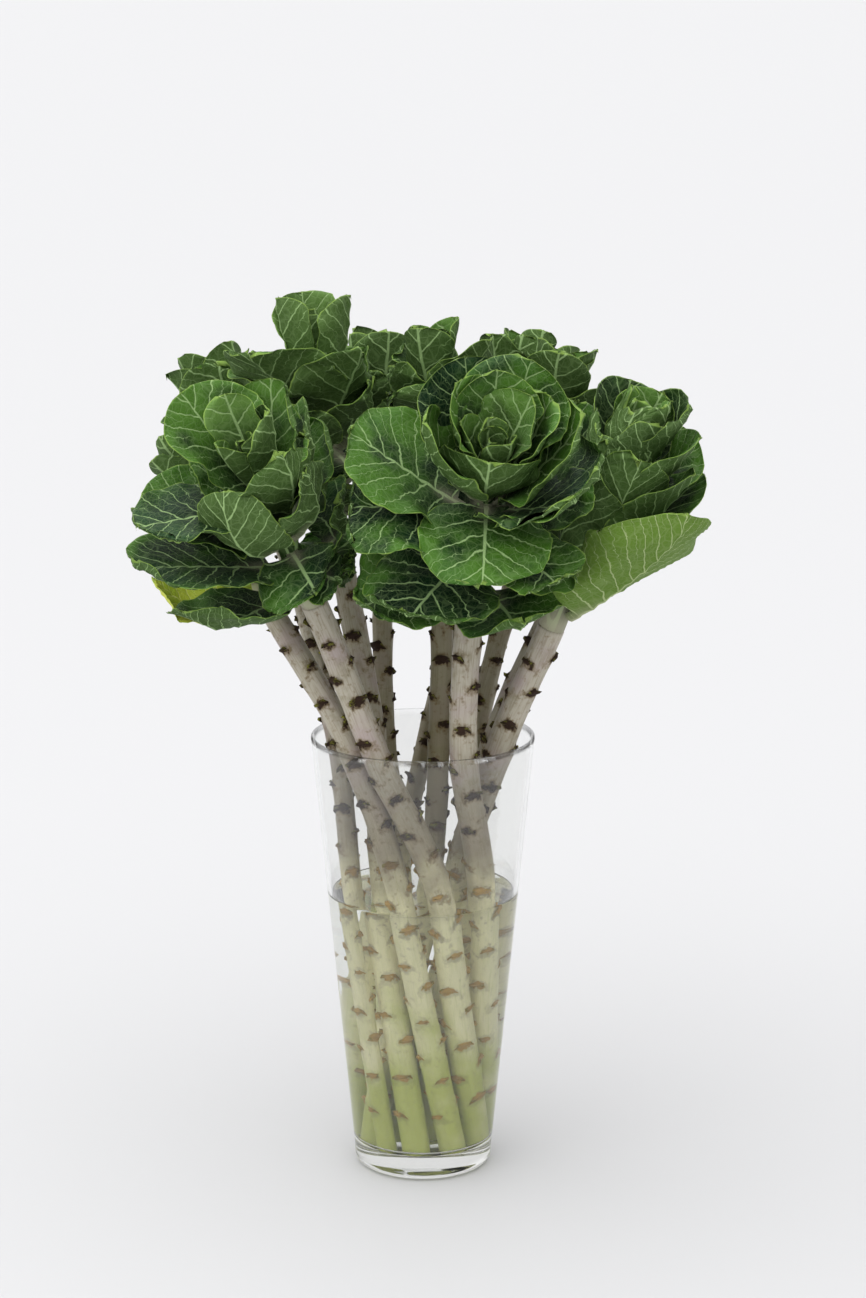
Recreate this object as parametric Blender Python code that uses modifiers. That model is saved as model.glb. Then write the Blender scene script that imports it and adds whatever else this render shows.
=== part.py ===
"""A vase of cut ornamental cabbage: eleven leafy heads on long scarred stems, standing in a glass of water.

Metres, +Z up. The origin is the middle of the vase's underside, and -Y is the front.
"""

import math
import random
from typing import NamedTuple

import bmesh
import bpy
import numpy as np
from mathutils import Matrix, Vector

# Glass and water
VASE_HEIGHT = 0.300
RIM_RADIUS = 0.075
FOOT_RADIUS = 0.0475
FLOOR = 0.017
WALL = 0.0027
FOOT_ROUNDING = 0.006
FILLET = 0.002
WATER_LEVEL = 0.190
VASE_SIDES = 36
GAP = 0.0003

# Stems
TUBE_RESOLUTION = 2
STEM_TAPER = 0.94
NECK_BARE = 0.010
SCAR_OUT = 0.0030
SCAR_ROOT = 0.0030
SCAR_WIDTH = 0.0048
GOLDEN_TURN = math.radians(137.5)
SCAR_STEP = 0.0525
SCAR_TURN = 6 * GOLDEN_TURN
SCAR_START = 0.030
SCAR_CLEARANCE = 0.0009
STEM_CLEARANCE = 0.0024
WALL_CLEARANCE = 0.0036
TILT_ALLOWANCE = 1.07
SETTLING_ROUNDS = 400
SETTLING_HEIGHTS = 9

# Leaves
BLADE = 0.0009
STALK_HALF_WIDTH = 0.0042
LONGEST_INNER = 0.084
WIDEST_WRAP = math.radians(75)
HEART_LEAVES = 2
LEAF_COLUMNS = 2
ROWS = (-1.0, 0.12, 0.50, 0.85, 1.0)
ROWS_WITH_STALK = (-1.0, 0.0, 0.14, 0.50, 0.85, 1.0)
SHORT_STALK = 0.25
TIP_ROUNDING = 0.07
RIB_STEPS = 40
LAYER_STEP = 0.0008
OWN_ZONE = 0.016
NEIGHBOUR_GAP = 0.0034
BARE_STEM_GAP = 0.0050
PRESS_STEPS = 48

SMOOTH_ANGLE = math.radians(40)
MERGE = 0.000001


class Plant(NamedTuple):
    """One cut stem with its head. Plan points are (x, y), and all lengths are metres."""

    name: str
    radius: float
    foot: tuple
    surface: tuple
    rim: tuple
    neck: tuple
    crown: tuple
    centre: tuple
    reach: float
    leaves: int
    first_turn: float


class Leaf(NamedTuple):
    """One leaf. Its leans are angles from the head's axis, and its turn is about that axis."""

    rise: float
    turn: float
    root_lean: float
    tip_lean: float
    length: float
    width: float
    petiole: float
    cup: float


PLANTS = (
    Plant("left_back", 0.0066, (-0.012, -0.029), (-0.038, -0.014), (-0.060, 0.012),
          (-0.100, 0.058, 0.432), (-0.131, 0.088, 0.504), (-0.131, 0.092, 0.510), 0.073, 11, 20),
    Plant("left_side", 0.0083, (0.024, -0.020), (-0.017, -0.034), (-0.048, -0.036),
          (-0.106, -0.008, 0.398), (-0.140, 0.014, 0.460), (-0.138, 0.024, 0.474), 0.067, 11, 65),
    Plant("left_front", 0.0092, (0.031, -0.003), (0.003, -0.040), (-0.032, -0.052),
          (-0.070, -0.058, 0.402), (-0.100, -0.092, 0.480), (-0.110, -0.058, 0.476), 0.092, 0, 0),
    Plant("left_top", 0.0085, (0.008, -0.030), (-0.012, -0.012), (-0.033, -0.004),
          (-0.058, 0.022, 0.440), (-0.070, 0.034, 0.532), (-0.070, 0.035, 0.530), 0.086, 0, 28),
    Plant("back_left", 0.0070, (-0.008, -0.008), (-0.018, 0.008), (-0.026, 0.024),
          (-0.028, 0.074, 0.434), (-0.030, 0.104, 0.508), (-0.028, 0.110, 0.515), 0.078, 11, 140),
    Plant("back_right", 0.0064, (-0.032, -0.001), (-0.009, 0.026), (0.006, 0.050),
          (0.046, 0.092, 0.434), (0.066, 0.112, 0.508), (0.072, 0.116, 0.513), 0.080, 11, 200),
    Plant("middle", 0.0075, (-0.028, -0.018), (0.003, 0.004), (0.011, 0.012),
          (0.012, 0.024, 0.448), (0.008, 0.030, 0.524), (0.008, 0.032, 0.528), 0.078, 11, 310),
    Plant("front", 0.0094, (0.028, 0.017), (0.024, -0.034), (0.027, -0.046),
          (0.032, -0.058, 0.404), (0.041, -0.108, 0.486), (0.024, -0.080, 0.490), 0.104, 0, 0),
    Plant("right_back", 0.0070, (0.010, 0.031), (0.026, 0.022), (0.038, 0.026),
          (0.070, 0.044, 0.432), (0.086, 0.052, 0.510), (0.090, 0.052, 0.516), 0.076, 11, 100),
    Plant("right_side", 0.0085, (-0.012, 0.030), (0.034, 0.002), (0.050, 0.006),
          (0.100, 0.028, 0.406), (0.130, 0.042, 0.474), (0.132, 0.046, 0.482), 0.072, 11, 330),
    Plant("right_front", 0.0095, (0.006, 0.006), (0.037, -0.017), (0.053, -0.029),
          (0.084, -0.033, 0.380), (0.122, -0.052, 0.482), (0.120, -0.025, 0.474), 0.084, 0, 0),
)

# Leaves of the front heads, and one that fills the gap behind them: rise, turn, lean at root and tip,
# length, width, petiole and cup
FRONT_LEAVES = {
    "left_top": (
        (0.10, 292, 98, 152, 0.112, 0.110, 0.25, 0.3), (0.18, 182, 64, 66, 0.096, 0.086, 0.25, 0.6),
        (0.24, 40, 64, 66, 0.096, 0.086, 0.25, 0.6), (0.44, 234, 60, 62, 0.088, 0.080, 0.22, 0.6),
        (0.48, 335, 56, 60, 0.084, 0.080, 0.22, 0.7), (0.54, 150, 48, 40, 0.088, 0.080, 0.20, 0.7),
        (0.60, 68, 46, 34, 0.086, 0.080, 0.20, 0.7), (0.64, 304, 50, 48, 0.080, 0.080, 0.20, 0.6),
        (0.70, 230, 46, 56, 0.088, 0.090, 0.14, 0.5), (0.76, 358, 28, 10, 0.082, 0.070, 0.16, 0.7),
        (0.80, 196, 24, 2, 0.080, 0.064, 0.12, 0.8), (0.82, 100, 17, 6, 0.080, 0.072, 0.10, 0.5),
    ),
    "left_front": (
        (0.05, 170, 82, 88, 0.136, 0.084, 0.30, 0.5), (0.12, 216, 74, 86, 0.112, 0.090, 0.18, 0.5),
        (0.30, 326, 90, 148, 0.078, 0.058, 0.16, 0.4), (0.22, 30, 66, 76, 0.096, 0.084, 0.28, 0.7),
        (0.30, 195, 58, 66, 0.114, 0.090, 0.18, 0.5), (0.34, 120, 62, 60, 0.100, 0.090, 0.26, 0.7),
        (0.50, 290, 92, 138, 0.072, 0.070, 0.14, 0.5), (0.52, 168, 58, 48, 0.098, 0.084, 0.22, 0.7),
        (0.57, 336, 60, 30, 0.086, 0.076, 0.20, 0.8), (0.62, 246, 92, -44, 0.088, 0.060, 0.16, 0.8),
        (0.68, 100, 50, 42, 0.094, 0.088, 0.20, 0.8), (0.73, 24, 52, 40, 0.088, 0.080, 0.20, 0.8),
        (0.74, 315, 58, 4, 0.078, 0.074, 0.14, 0.8), (0.85, 197, 66, 76, 0.090, 0.080, 0.20, 0.6),
        (0.92, 134, 34, 26, 0.086, 0.080, 0.12, 0.6),
    ),
    "front": (
        (0.20, 300, 82, 104, 0.084, 0.078, 0.24, 0.6), (0.24, 204, 82, 118, 0.100, 0.084, 0.26, 0.6),
        (0.30, 6, 74, 86, 0.088, 0.080, 0.24, 0.6), (0.46, 236, 80, 116, 0.098, 0.088, 0.24, 0.5),
        (0.54, 30, 62, 58, 0.102, 0.090, 0.24, 0.7), (0.62, 310, 76, 96, 0.086, 0.064, 0.22, 0.7),
        (0.72, 190, 72, 94, 0.106, 0.096, 0.22, 0.5), (0.70, 162, 66, 66, 0.104, 0.096, 0.22, 0.6),
        (0.76, 345, 60, 40, 0.098, 0.094, 0.20, 0.8), (0.88, 268, 82, 112, 0.078, 0.086, 0.12, 0.4),
        (0.83, 110, 46, 28, 0.094, 0.092, 0.18, 0.8), (0.86, 8, 56, 16, 0.090, 0.090, 0.16, 0.8),
        (0.94, 262, 60, -6, 0.058, 0.094, 0.10, 0.6), (0.96, 92, 32, 10, 0.078, 0.076, 0.12, 0.8),
        (0.98, 150, 36, 8, 0.076, 0.078, 0.10, 0.7),
    ),
    "right_front": (
        (0.04, 312, 42, 20, 0.136, 0.108, 0.16, 0.4), (0.10, 228, 36, 0, 0.118, 0.084, 0.22, 0.8),
        (0.16, 150, 46, 36, 0.106, 0.088, 0.24, 0.8), (0.22, 338, 27, 18, 0.122, 0.076, 0.22, 0.6),
        (0.22, 280, 28, 4, 0.120, 0.074, 0.22, 0.7), (0.30, 20, 38, 28, 0.112, 0.086, 0.24, 0.7),
        (0.48, 352, 26, 16, 0.112, 0.084, 0.22, 0.7), (0.60, 50, 42, 30, 0.098, 0.088, 0.20, 0.8),
        (0.66, 308, 25, 0, 0.088, 0.072, 0.18, 0.8), (0.72, 200, 36, 6, 0.080, 0.072, 0.18, 0.8),
        (0.78, 6, 25, 12, 0.096, 0.080, 0.16, 0.8),
    ),
}

# The lowest leaf of two heads has its own colour and is a piece of its own
LOOSE_LEAVES = {"left_front": "yellow_leaf", "right_front": "light_leaf"}

COLOURS = {
    "glass": ((0.86, 0.90, 0.91, 1.0), 0.03),
    "water": ((0.80, 0.87, 0.84, 1.0), 0.02),
    "stem": ((0.45, 0.43, 0.33, 1.0), 0.60),
    "leaf": ((0.055, 0.150, 0.060, 1.0), 0.50),
    "light_leaf": ((0.230, 0.390, 0.090, 1.0), 0.50),
    "yellow_leaf": ((0.560, 0.600, 0.100, 1.0), 0.50),
}


def clear_scene():
    """Removes what the startup file holds."""
    for obj in list(bpy.data.objects):
        bpy.data.objects.remove(obj)


def new_collection(name):
    """A collection linked to the scene."""
    collection = bpy.data.collections.new(name)
    bpy.context.scene.collection.children.link(collection)
    return collection


def make_material(name):
    """A plain Principled finish."""
    colour, roughness = COLOURS[name]
    material = bpy.data.materials.new(name)
    material.use_nodes = True
    shader = material.node_tree.nodes["Principled BSDF"]
    shader.inputs["Base Color"].default_value = colour
    shader.inputs["Roughness"].default_value = roughness
    shader.inputs["Metallic"].default_value = 0.0
    material.diffuse_color = colour
    return material


def object_from(bm, name, collection):
    """Moves a bmesh into a new object."""
    mesh = bpy.data.meshes.new(name)
    bm.to_mesh(mesh)
    bm.free()
    obj = bpy.data.objects.new(name, mesh)
    collection.objects.link(obj)
    return obj


def apply_modifiers(obj):
    """Replaces an object's mesh by its evaluated one."""
    bpy.context.view_layer.update()
    evaluated = obj.evaluated_get(bpy.context.evaluated_depsgraph_get())
    mesh = bpy.data.meshes.new_from_object(evaluated)
    obj.modifiers.clear()
    obj.data = mesh


def tidy_mesh(obj):
    """Merges points that coincide and turns the faces outwards."""
    bm = bmesh.new()
    bm.from_mesh(obj.data)
    bmesh.ops.remove_doubles(bm, verts=bm.verts, dist=MERGE)
    bmesh.ops.recalc_face_normals(bm, faces=bm.faces)
    bm.to_mesh(obj.data)
    bm.free()


def box_size(faces):
    """The sum of the sides of the box round some faces."""
    points = np.array([vert.co for face in faces for vert in face.verts])
    return float((points.max(axis=0) - points.min(axis=0)).sum())


def connected_groups(bm):
    """The groups of faces that hang together by their edges."""
    left = set(bm.faces)
    groups = []
    while left:
        group, queue = [], [left.pop()]
        while queue:
            face = queue.pop()
            group.append(face)
            for other in {near for edge in face.edges for near in edge.link_faces} & left:
                left.remove(other)
                queue.append(other)
        groups.append(group)
    return groups


def keep_outer_body(obj):
    """Fills hollows that joining sealed and drops loose scraps, by keeping only the largest shell."""
    bm = bmesh.new()
    bm.from_mesh(obj.data)
    groups = sorted(connected_groups(bm), key=box_size)
    scraps = [face for group in groups[:-1] for face in group]
    bmesh.ops.delete(bm, geom=scraps, context="FACES")
    bmesh.ops.delete(bm, geom=[vert for vert in bm.verts if not vert.link_faces], context="VERTS")
    bm.to_mesh(obj.data)
    bm.free()


def combine(obj, others, operation):
    """Joins or cuts an object with all the objects of a collection, which are then removed."""
    modifier = obj.modifiers.new(operation.lower(), "BOOLEAN")
    modifier.operation = operation
    modifier.operand_type = "COLLECTION"
    modifier.collection = others
    modifier.solver = "MANIFOLD"
    apply_modifiers(obj)
    for other in list(others.objects):
        bpy.data.objects.remove(other)
    bpy.data.collections.remove(others)
    keep_outer_body(obj)


def finish_node(obj, name, material, parts):
    """Names a solid, dresses it and puts it among the parts."""
    obj.name = name
    obj.data.name = name
    obj.data.materials.clear()
    obj.data.materials.append(material)
    obj.data.shade_smooth()
    obj.data.set_sharp_from_angle(angle=SMOOTH_ANGLE)
    for collection in list(obj.users_collection):
        collection.objects.unlink(obj)
    parts.objects.link(obj)


# Glass and water

def inner_radius(z):
    """Radius of the vase's inner wall at a height."""
    share = (z - FLOOR) / (VASE_HEIGHT - FLOOR)
    return FOOT_RADIUS + (RIM_RADIUS - FOOT_RADIUS) * share - WALL


def turned(name, profile, collection):
    """A solid of revolution from a profile that runs down its outer side. Edges on the axis are left out."""
    bm = bmesh.new()
    verts = [bm.verts.new((radius, 0.0, z)) for radius, z in profile]
    for first, second in zip(verts, verts[1:]):
        if first.co.x > 0 or second.co.x > 0:
            bm.edges.new((first, second))
    obj = object_from(bm, name, collection)
    screw = obj.modifiers.new("turn", "SCREW")
    screw.steps = screw.render_steps = VASE_SIDES
    screw.use_merge_vertices = True
    screw.merge_threshold = 0.00005
    apply_modifiers(obj)
    tidy_mesh(obj)
    return obj


def vase_profile():
    """From the rim down the outside, under the foot and up the inside, back to the rim."""
    lip = WALL / 2
    rim = [
        (RIM_RADIUS - lip, VASE_HEIGHT),
        (RIM_RADIUS - 0.2 * lip, VASE_HEIGHT - 0.5 * lip),
        (RIM_RADIUS, VASE_HEIGHT - 2 * lip),
    ]
    arc_centre = FOOT_RADIUS - 0.0008 - FOOT_ROUNDING
    rounding = [
        (arc_centre + FOOT_ROUNDING * math.cos(angle), FOOT_ROUNDING - FOOT_ROUNDING * math.sin(angle))
        for angle in (0.0, math.radians(45), math.radians(90))
    ]
    base = [(0.0, 0.0), (0.0, FLOOR)]
    fillet = [(inner_radius(FLOOR) - FILLET, FLOOR), (inner_radius(FLOOR + FILLET), FLOOR + FILLET)]
    inside = [(inner_radius(VASE_HEIGHT - 2 * lip), VASE_HEIGHT - 2 * lip)]
    return rim + [(FOOT_RADIUS, FLOOR)] + rounding + base + fillet + inside + [rim[0]]


def make_vase(parts, material):
    """The tall conical glass with its thick floor."""
    vase = turned("vase", vase_profile(), parts)
    finish_node(vase, "vase", material, parts)


def make_water(parts, stems, material):
    """The water, with a plain hole for each stem that stands in it."""
    top = (inner_radius(WATER_LEVEL) - GAP, WATER_LEVEL)
    bottom = (inner_radius(FLOOR + FILLET) - 1.5 * GAP, FLOOR + FILLET + GAP)
    corner = (inner_radius(FLOOR) - FILLET - GAP, FLOOR + GAP)
    profile = [(0.0, WATER_LEVEL), top, bottom, corner, (0.0, FLOOR + GAP)]
    water = turned("water", profile, parts)
    holes = new_collection("holes")
    for stem in stems:
        direction = (stem.surface - stem.foot).normalized()
        path = [stem.foot - direction * 0.012, stem.surface + direction * 0.010]
        radius = (stem.plant.radius + SCAR_OUT + GAP) / math.cos(math.pi / 8)
        tube("hole", path, [radius, radius], holes)
    combine(water, holes, "DIFFERENCE")
    finish_node(water, "water", material, parts)


# Stems

class Stem:
    """A stem's settled place: straight from its foot to above the water, then bowing out to its neck."""

    def __init__(self, plant, foot, surface, rim):
        self.plant = plant
        self.foot = Vector((*foot, FLOOR))
        self.surface = Vector((*surface, WATER_LEVEL))
        self.rim = Vector((*rim, VASE_HEIGHT))
        self.neck = Vector(plant.neck)
        self.crown = Vector(plant.crown)
        self.axis = (self.crown - self.neck).normalized()
        pulls = (
            (self.surface - self.foot).normalized(),
            (self.neck - self.surface).normalized(),
            self.axis,
        )
        self.route = [
            (self.surface, pulls[0], self.rim, pulls[1]),
            (self.rim, pulls[1], self.neck, pulls[2]),
        ]
        self.line = [self.foot] + self.bowed(6)

    def path(self):
        """Points for the solid stem, ending square to the head's axis."""
        below = self.foot + (self.foot - self.surface).normalized() * 0.006
        return [below] + self.bowed(3)[:-1] + [self.neck - self.axis * 0.006, self.neck]

    def bowed(self, steps):
        """Points from the water's surface to the neck, a number of steps on each side of the rim."""
        points = [self.surface]
        for start, start_pull, end, end_pull in self.route:
            reach = (end - start).length
            for step in range(1, steps + 1):
                share = step / steps
                s2, s3 = share ** 2, share ** 3
                points.append(
                    start * (2 * s3 - 3 * s2 + 1) + start_pull * reach * (s3 - 2 * s2 + share)
                    + end * (3 * s2 - 2 * s3) + end_pull * reach * (s3 - s2)
                )
        return points

    def at_length(self, distance):
        """The point and direction at a distance from the foot."""
        for first, second in zip(self.line, self.line[1:]):
            span = (second - first).length
            if distance <= span:
                return first.lerp(second, distance / span), (second - first).normalized()
            distance -= span
        return None, None

    def gap(self, point):
        """How far a point is from the stem's surface."""
        best = 1.0
        for first, second in zip(self.line, self.line[1:]):
            span = second - first
            share = max(0.0, min(1.0, (point - first).dot(span) / span.length_squared))
            best = min(best, (point - first - span * share).length - self.plant.radius)
        return best


def settle_stems():
    """Moves the stems apart until no two touch, and keeps them inside the glass."""
    levels = np.array((FLOOR, WATER_LEVEL, VASE_HEIGHT))
    places = np.array([(plant.foot, plant.surface, plant.rim) for plant in PLANTS])
    radii = np.array([plant.radius for plant in PLANTS])
    need = (radii[:, None] + radii[None, :] + STEM_CLEARANCE) * TILT_ALLOWANCE
    limits = np.array([inner_radius(level) - radii - WALL_CLEARANCE for level in levels]).T
    heights = np.linspace(FLOOR, VASE_HEIGHT, SETTLING_HEIGHTS)
    weights = np.array([np.interp(heights, levels, np.eye(3)[k]) for k in range(3)]).T
    for _ in range(SETTLING_ROUNDS):
        for weight in weights:
            spots = weight @ places
            for i in range(len(PLANTS)):
                for j in range(i):
                    apart = spots[i] - spots[j]
                    distance = float(np.hypot(*apart)) + 1e-9
                    if distance < need[i, j]:
                        push = apart / distance * (need[i, j] - distance) * 0.25
                        places[i] += weight[:, None] * push
                        places[j] -= weight[:, None] * push
        length = np.linalg.norm(places, axis=2)
        places *= np.minimum(1.0, limits / length)[:, :, None]
    return [Stem(plant, *place) for plant, place in zip(PLANTS, places)]


def tube(name, points, radii, collection):
    """A round bar along points, as a closed mesh."""
    curve = bpy.data.curves.new(name, "CURVE")
    curve.dimensions = "3D"
    curve.bevel_depth = 1.0
    curve.bevel_resolution = TUBE_RESOLUTION
    curve.use_fill_caps = True
    spline = curve.splines.new("POLY")
    spline.points.add(len(points) - 1)
    for point, place, radius in zip(spline.points, points, radii):
        point.co = (*place, 1.0)
        point.radius = radius
    guide = bpy.data.objects.new(name + "_guide", curve)
    collection.objects.link(guide)
    bpy.context.view_layer.update()
    graph = bpy.context.evaluated_depsgraph_get()
    mesh = bpy.data.meshes.new_from_object(guide.evaluated_get(graph))
    bpy.data.objects.remove(guide)
    obj = bpy.data.objects.new(name, mesh)
    collection.objects.link(obj)
    tidy_mesh(obj)
    return obj


def cut_flat(obj, height):
    """Cuts an object off level at a height and closes the cut."""
    bm = bmesh.new()
    bm.from_mesh(obj.data)
    geom = bm.verts[:] + bm.edges[:] + bm.faces[:]
    plane = {"plane_co": (0, 0, height), "plane_no": (0, 0, 1)}
    cut = bmesh.ops.bisect_plane(bm, geom=geom, clear_inner=True, **plane)
    edges = [item for item in cut["geom_cut"] if isinstance(item, bmesh.types.BMEdge)]
    bmesh.ops.edgeloop_fill(bm, edges=edges)
    bmesh.ops.recalc_face_normals(bm, faces=bm.faces)
    bm.to_mesh(obj.data)
    bm.free()


def make_scar(place, out, along, radius, collection):
    """The stub that a fallen leaf left: a short wedge that leans up and is widest across the stem."""
    height = SCAR_OUT + SCAR_ROOT
    bm = bmesh.new()
    bmesh.ops.create_cone(
        bm, cap_ends=True, segments=3, radius1=SCAR_WIDTH, radius2=SCAR_WIDTH * 0.3, depth=height
    )
    lean = (out + along * 0.4).normalized()
    across = along.cross(out).normalized()
    turn = Matrix((lean.cross(across) * 0.6, across, lean)).transposed().to_4x4()
    middle = place + out * (radius - SCAR_ROOT) + lean * height / 2
    bmesh.ops.transform(bm, matrix=Matrix.Translation(middle) @ turn, verts=bm.verts)
    bmesh.ops.recalc_face_normals(bm, faces=bm.faces)
    return object_from(bm, "scar", collection)


def make_stem(stem, stems, parts, material):
    """A bare stem with its spiral of leaf scars, cut level where it stands on the glass."""
    plant = stem.plant
    path = stem.path()
    shrink = np.linspace(1.0, STEM_TAPER, len(path))
    body = tube(plant.name, path, [plant.radius * share for share in shrink], parts)
    cut_flat(body, FLOOR + GAP)
    scars = new_collection("scars")
    turn = math.radians(plant.first_turn)
    distance = SCAR_START
    place, along = stem.at_length(distance)
    while place is not None and (stem.neck - place).length > NECK_BARE:
        side = along.cross(Vector((0, 1, 0))).normalized()
        out = Matrix.Rotation(turn, 3, along) @ side
        tip = place + out * (plant.radius + SCAR_OUT)
        from_wall = inner_radius(tip.z) - math.hypot(tip.x, tip.y)
        in_glass = from_wall > SCAR_CLEARANCE or tip.z > VASE_HEIGHT + SCAR_WIDTH
        if in_glass and min(other.gap(tip) for other in stems if other is not stem) > SCAR_CLEARANCE:
            make_scar(place, out, along, plant.radius, scars)
        turn += SCAR_TURN
        distance += SCAR_STEP
        place, along = stem.at_length(distance)
    combine(body, scars, "UNION")
    finish_node(body, "stem_" + plant.name, material, parts)


# Heads

def axis_frame(plant):
    """A head's axis direction and the two directions that leaves turn about it."""
    axis = np.array(plant.crown) - np.array(plant.neck)
    axis /= np.linalg.norm(axis)
    right = np.array((1.0, 0.0, 0.0))
    right -= axis * right.dot(axis)
    right /= np.linalg.norm(right)
    return axis, right, np.cross(axis, right)


def head_leaves(plant):
    """A head's leaves, from the lowest to the heart, whose few small ones are left out."""
    draw = random.Random(plant.name)
    leaves = []
    for rise, turn, root, tip, length, width, petiole, cup in FRONT_LEAVES.get(plant.name, ()):
        leaves.append(Leaf(
            rise, math.radians(turn), math.radians(root), math.radians(tip), length, width, petiole, cup
        ))
    turn = math.radians(plant.first_turn)
    for index in range(len(leaves), plant.leaves - HEART_LEAVES):
        share = index / (plant.leaves - 1)
        turn += GOLDEN_TURN + draw.uniform(-0.12, 0.12)
        length = min(plant.reach, LONGEST_INNER) * (1.28 - 0.60 * share) * draw.uniform(0.94, 1.06)
        leaves.append(Leaf(
            rise=0.12 + 0.88 * share ** 0.7,
            turn=turn,
            root_lean=math.radians(72 - 44 * share),
            tip_lean=math.radians(94 - 88 * share + draw.uniform(-6, 6)),
            length=length,
            width=length * (1.02 - 0.08 * share),
            petiole=0.28 - 0.16 * share,
            cup=0.60 + 0.30 * share,
        ))
    return leaves


def blade_width(share):
    """Half width along a blade, as a share of its widest: a rounded form, widest past the middle."""
    return (1 - np.abs(2 * np.clip(share, 0, 1) ** 1.15 - 1) ** 2.2) ** (1 / 2.2)


def leaf_rib(plant, leaf):
    """Distances out from the head's axis and up along it, and the lean, at even steps along a midrib."""
    span = (Vector(plant.crown) - Vector(plant.neck)).length
    share = np.linspace(0.0, 1.0, RIB_STEPS + 1)
    lean = leaf.root_lean + (leaf.tip_lean - leaf.root_lean) * share ** 1.2
    step = leaf.length / RIB_STEPS
    out = np.concatenate(([0.0], np.cumsum(np.sin(lean[1:]) * step)))
    up = np.concatenate(([0.0], np.cumsum(np.cos(lean[1:]) * step))) + leaf.rise * span
    return share, out, up, lean


def leaf_points(plant, leaf, across, blade):
    """Points of a leaf's middle surface, for places from -1 to 1 across it and along its blade.

    Along the blade, -1 is the root of the leafstalk, 0 the blade's start and 1 its tip. The leaf wraps
    round the head's axis, so that inner leaves nest in outer ones.
    """
    axis, right, back = axis_frame(plant)
    along = np.where(blade < 0, (blade + 1) * leaf.petiole, leaf.petiole + blade * (1 - leaf.petiole))
    share, out, up, lean = leaf_rib(plant, leaf)
    out, up, lean = (np.interp(along, share, values) for values in (out, up, lean))
    half = np.maximum(blade_width(blade) * leaf.width / 2, STALK_HALF_WIDTH)
    offset = half * across
    wrap = np.clip(offset / np.maximum(out, 0.55 * half), -WIDEST_WRAP, WIDEST_WRAP)
    wrap = wrap * leaf.cup
    flat = offset * (1 - leaf.cup)
    turn = leaf.turn + wrap
    outward = right * np.cos(turn)[:, None] + back * np.sin(turn)[:, None]
    side = back * np.cos(turn)[:, None] - right * np.sin(turn)[:, None]
    return np.array(plant.neck) + axis * up[:, None] + outward * out[:, None] + side * flat[:, None]


def distance_to_line(points, line):
    """Distance of each point to a polyline."""
    best = np.full(points.shape[:-1], 10.0)
    for first, second in zip(line, line[1:]):
        span = second - first
        share = np.clip(((points - first) @ span) / (span @ span), 0, 1)
        best = np.minimum(best, np.linalg.norm(points - first - share[..., None] * span, axis=-1))
    return best


def roots_on_axis(points, neck, crown):
    """The nearest points of a head's axis."""
    span = crown - neck
    share = np.clip(((points - neck) @ span) / (span @ span), 0, 1)
    return neck + share[:, None] * span


def press_clear(points, own, layer, stems):
    """Pulls a leaf's points in towards its own axis, inside its reach and clear of other heads and stems."""
    plant = stems[own].plant
    neck, crown, centre = (np.array(place) for place in (plant.neck, plant.crown, plant.centre))
    inset = LAYER_STEP * layer
    way = points - centre
    length = np.linalg.norm(way, axis=-1)
    limit = plant.reach - inset * 0.5
    far = np.linalg.norm(points - roots_on_axis(points, neck, crown), axis=-1) > OWN_ZONE
    outside = (length > limit) & far
    points = np.where(outside[:, None], centre + way * (limit / length)[:, None], points)
    roots = roots_on_axis(points, neck, crown)
    way = points - roots
    steps = np.linspace(0, 1, PRESS_STEPS + 1)
    spots = roots[:, None, :] + way[:, None, :] * steps[None, :, None]
    own_power = np.linalg.norm(spots - centre, axis=-1) - plant.reach
    allowed = np.ones(spots.shape[:2], bool)
    for other in stems[:own] + stems[own + 1:]:
        power = np.linalg.norm(spots - np.array(other.plant.centre), axis=-1) - other.plant.reach
        allowed &= own_power < power - NEIGHBOUR_GAP - 2 * inset
        bare = [np.array(place) for place in other.line]
        allowed &= distance_to_line(spots, bare) > other.plant.radius + BARE_STEM_GAP + inset
        leafy = [np.array(other.neck), np.array(other.crown)]
        allowed &= distance_to_line(spots, leafy) > OWN_ZONE + 0.002
    allowed |= np.linalg.norm(way, axis=-1)[:, None] * steps[None, :] < OWN_ZONE
    reached = np.minimum.accumulate(allowed, axis=1).sum(axis=1) - 1
    return roots + way * steps[reached][:, None]


def make_leaf(own, leaf, layer, stems, collection, loose=False):
    """A leaf as a thin closed blade, rooted in the head's axis or, if loose, just clear of it."""
    rows = ROWS_WITH_STALK if leaf.petiole > SHORT_STALK else ROWS
    if loose:
        clear = stems[own].plant.radius * STEM_TAPER + 3 * GAP
        rows = (clear / (math.sin(leaf.root_lean) * leaf.petiole * leaf.length) - 1,) + rows[1:]
    bm = bmesh.new()
    bmesh.ops.create_grid(bm, x_segments=LEAF_COLUMNS, y_segments=len(rows) - 1, size=1.0)
    verts = list(bm.verts)
    across = np.array([vert.co.x for vert in verts])
    row = np.array([round((vert.co.y + 1) / 2 * (len(rows) - 1)) for vert in verts])
    blade = np.array(rows)[row] - TIP_ROUNDING * (row == len(rows) - 1) * across ** 2
    points = leaf_points(stems[own].plant, leaf, across, blade)
    points = press_clear(points, own, layer, stems)
    for vert, point in zip(verts, points):
        vert.co = point
    bmesh.ops.triangulate(bm, faces=bm.faces)
    obj = object_from(bm, "leaf", collection)
    thicken = obj.modifiers.new("thickness", "SOLIDIFY")
    thicken.thickness = BLADE
    thicken.offset = 0.0
    apply_modifiers(obj)
    return obj


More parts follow.
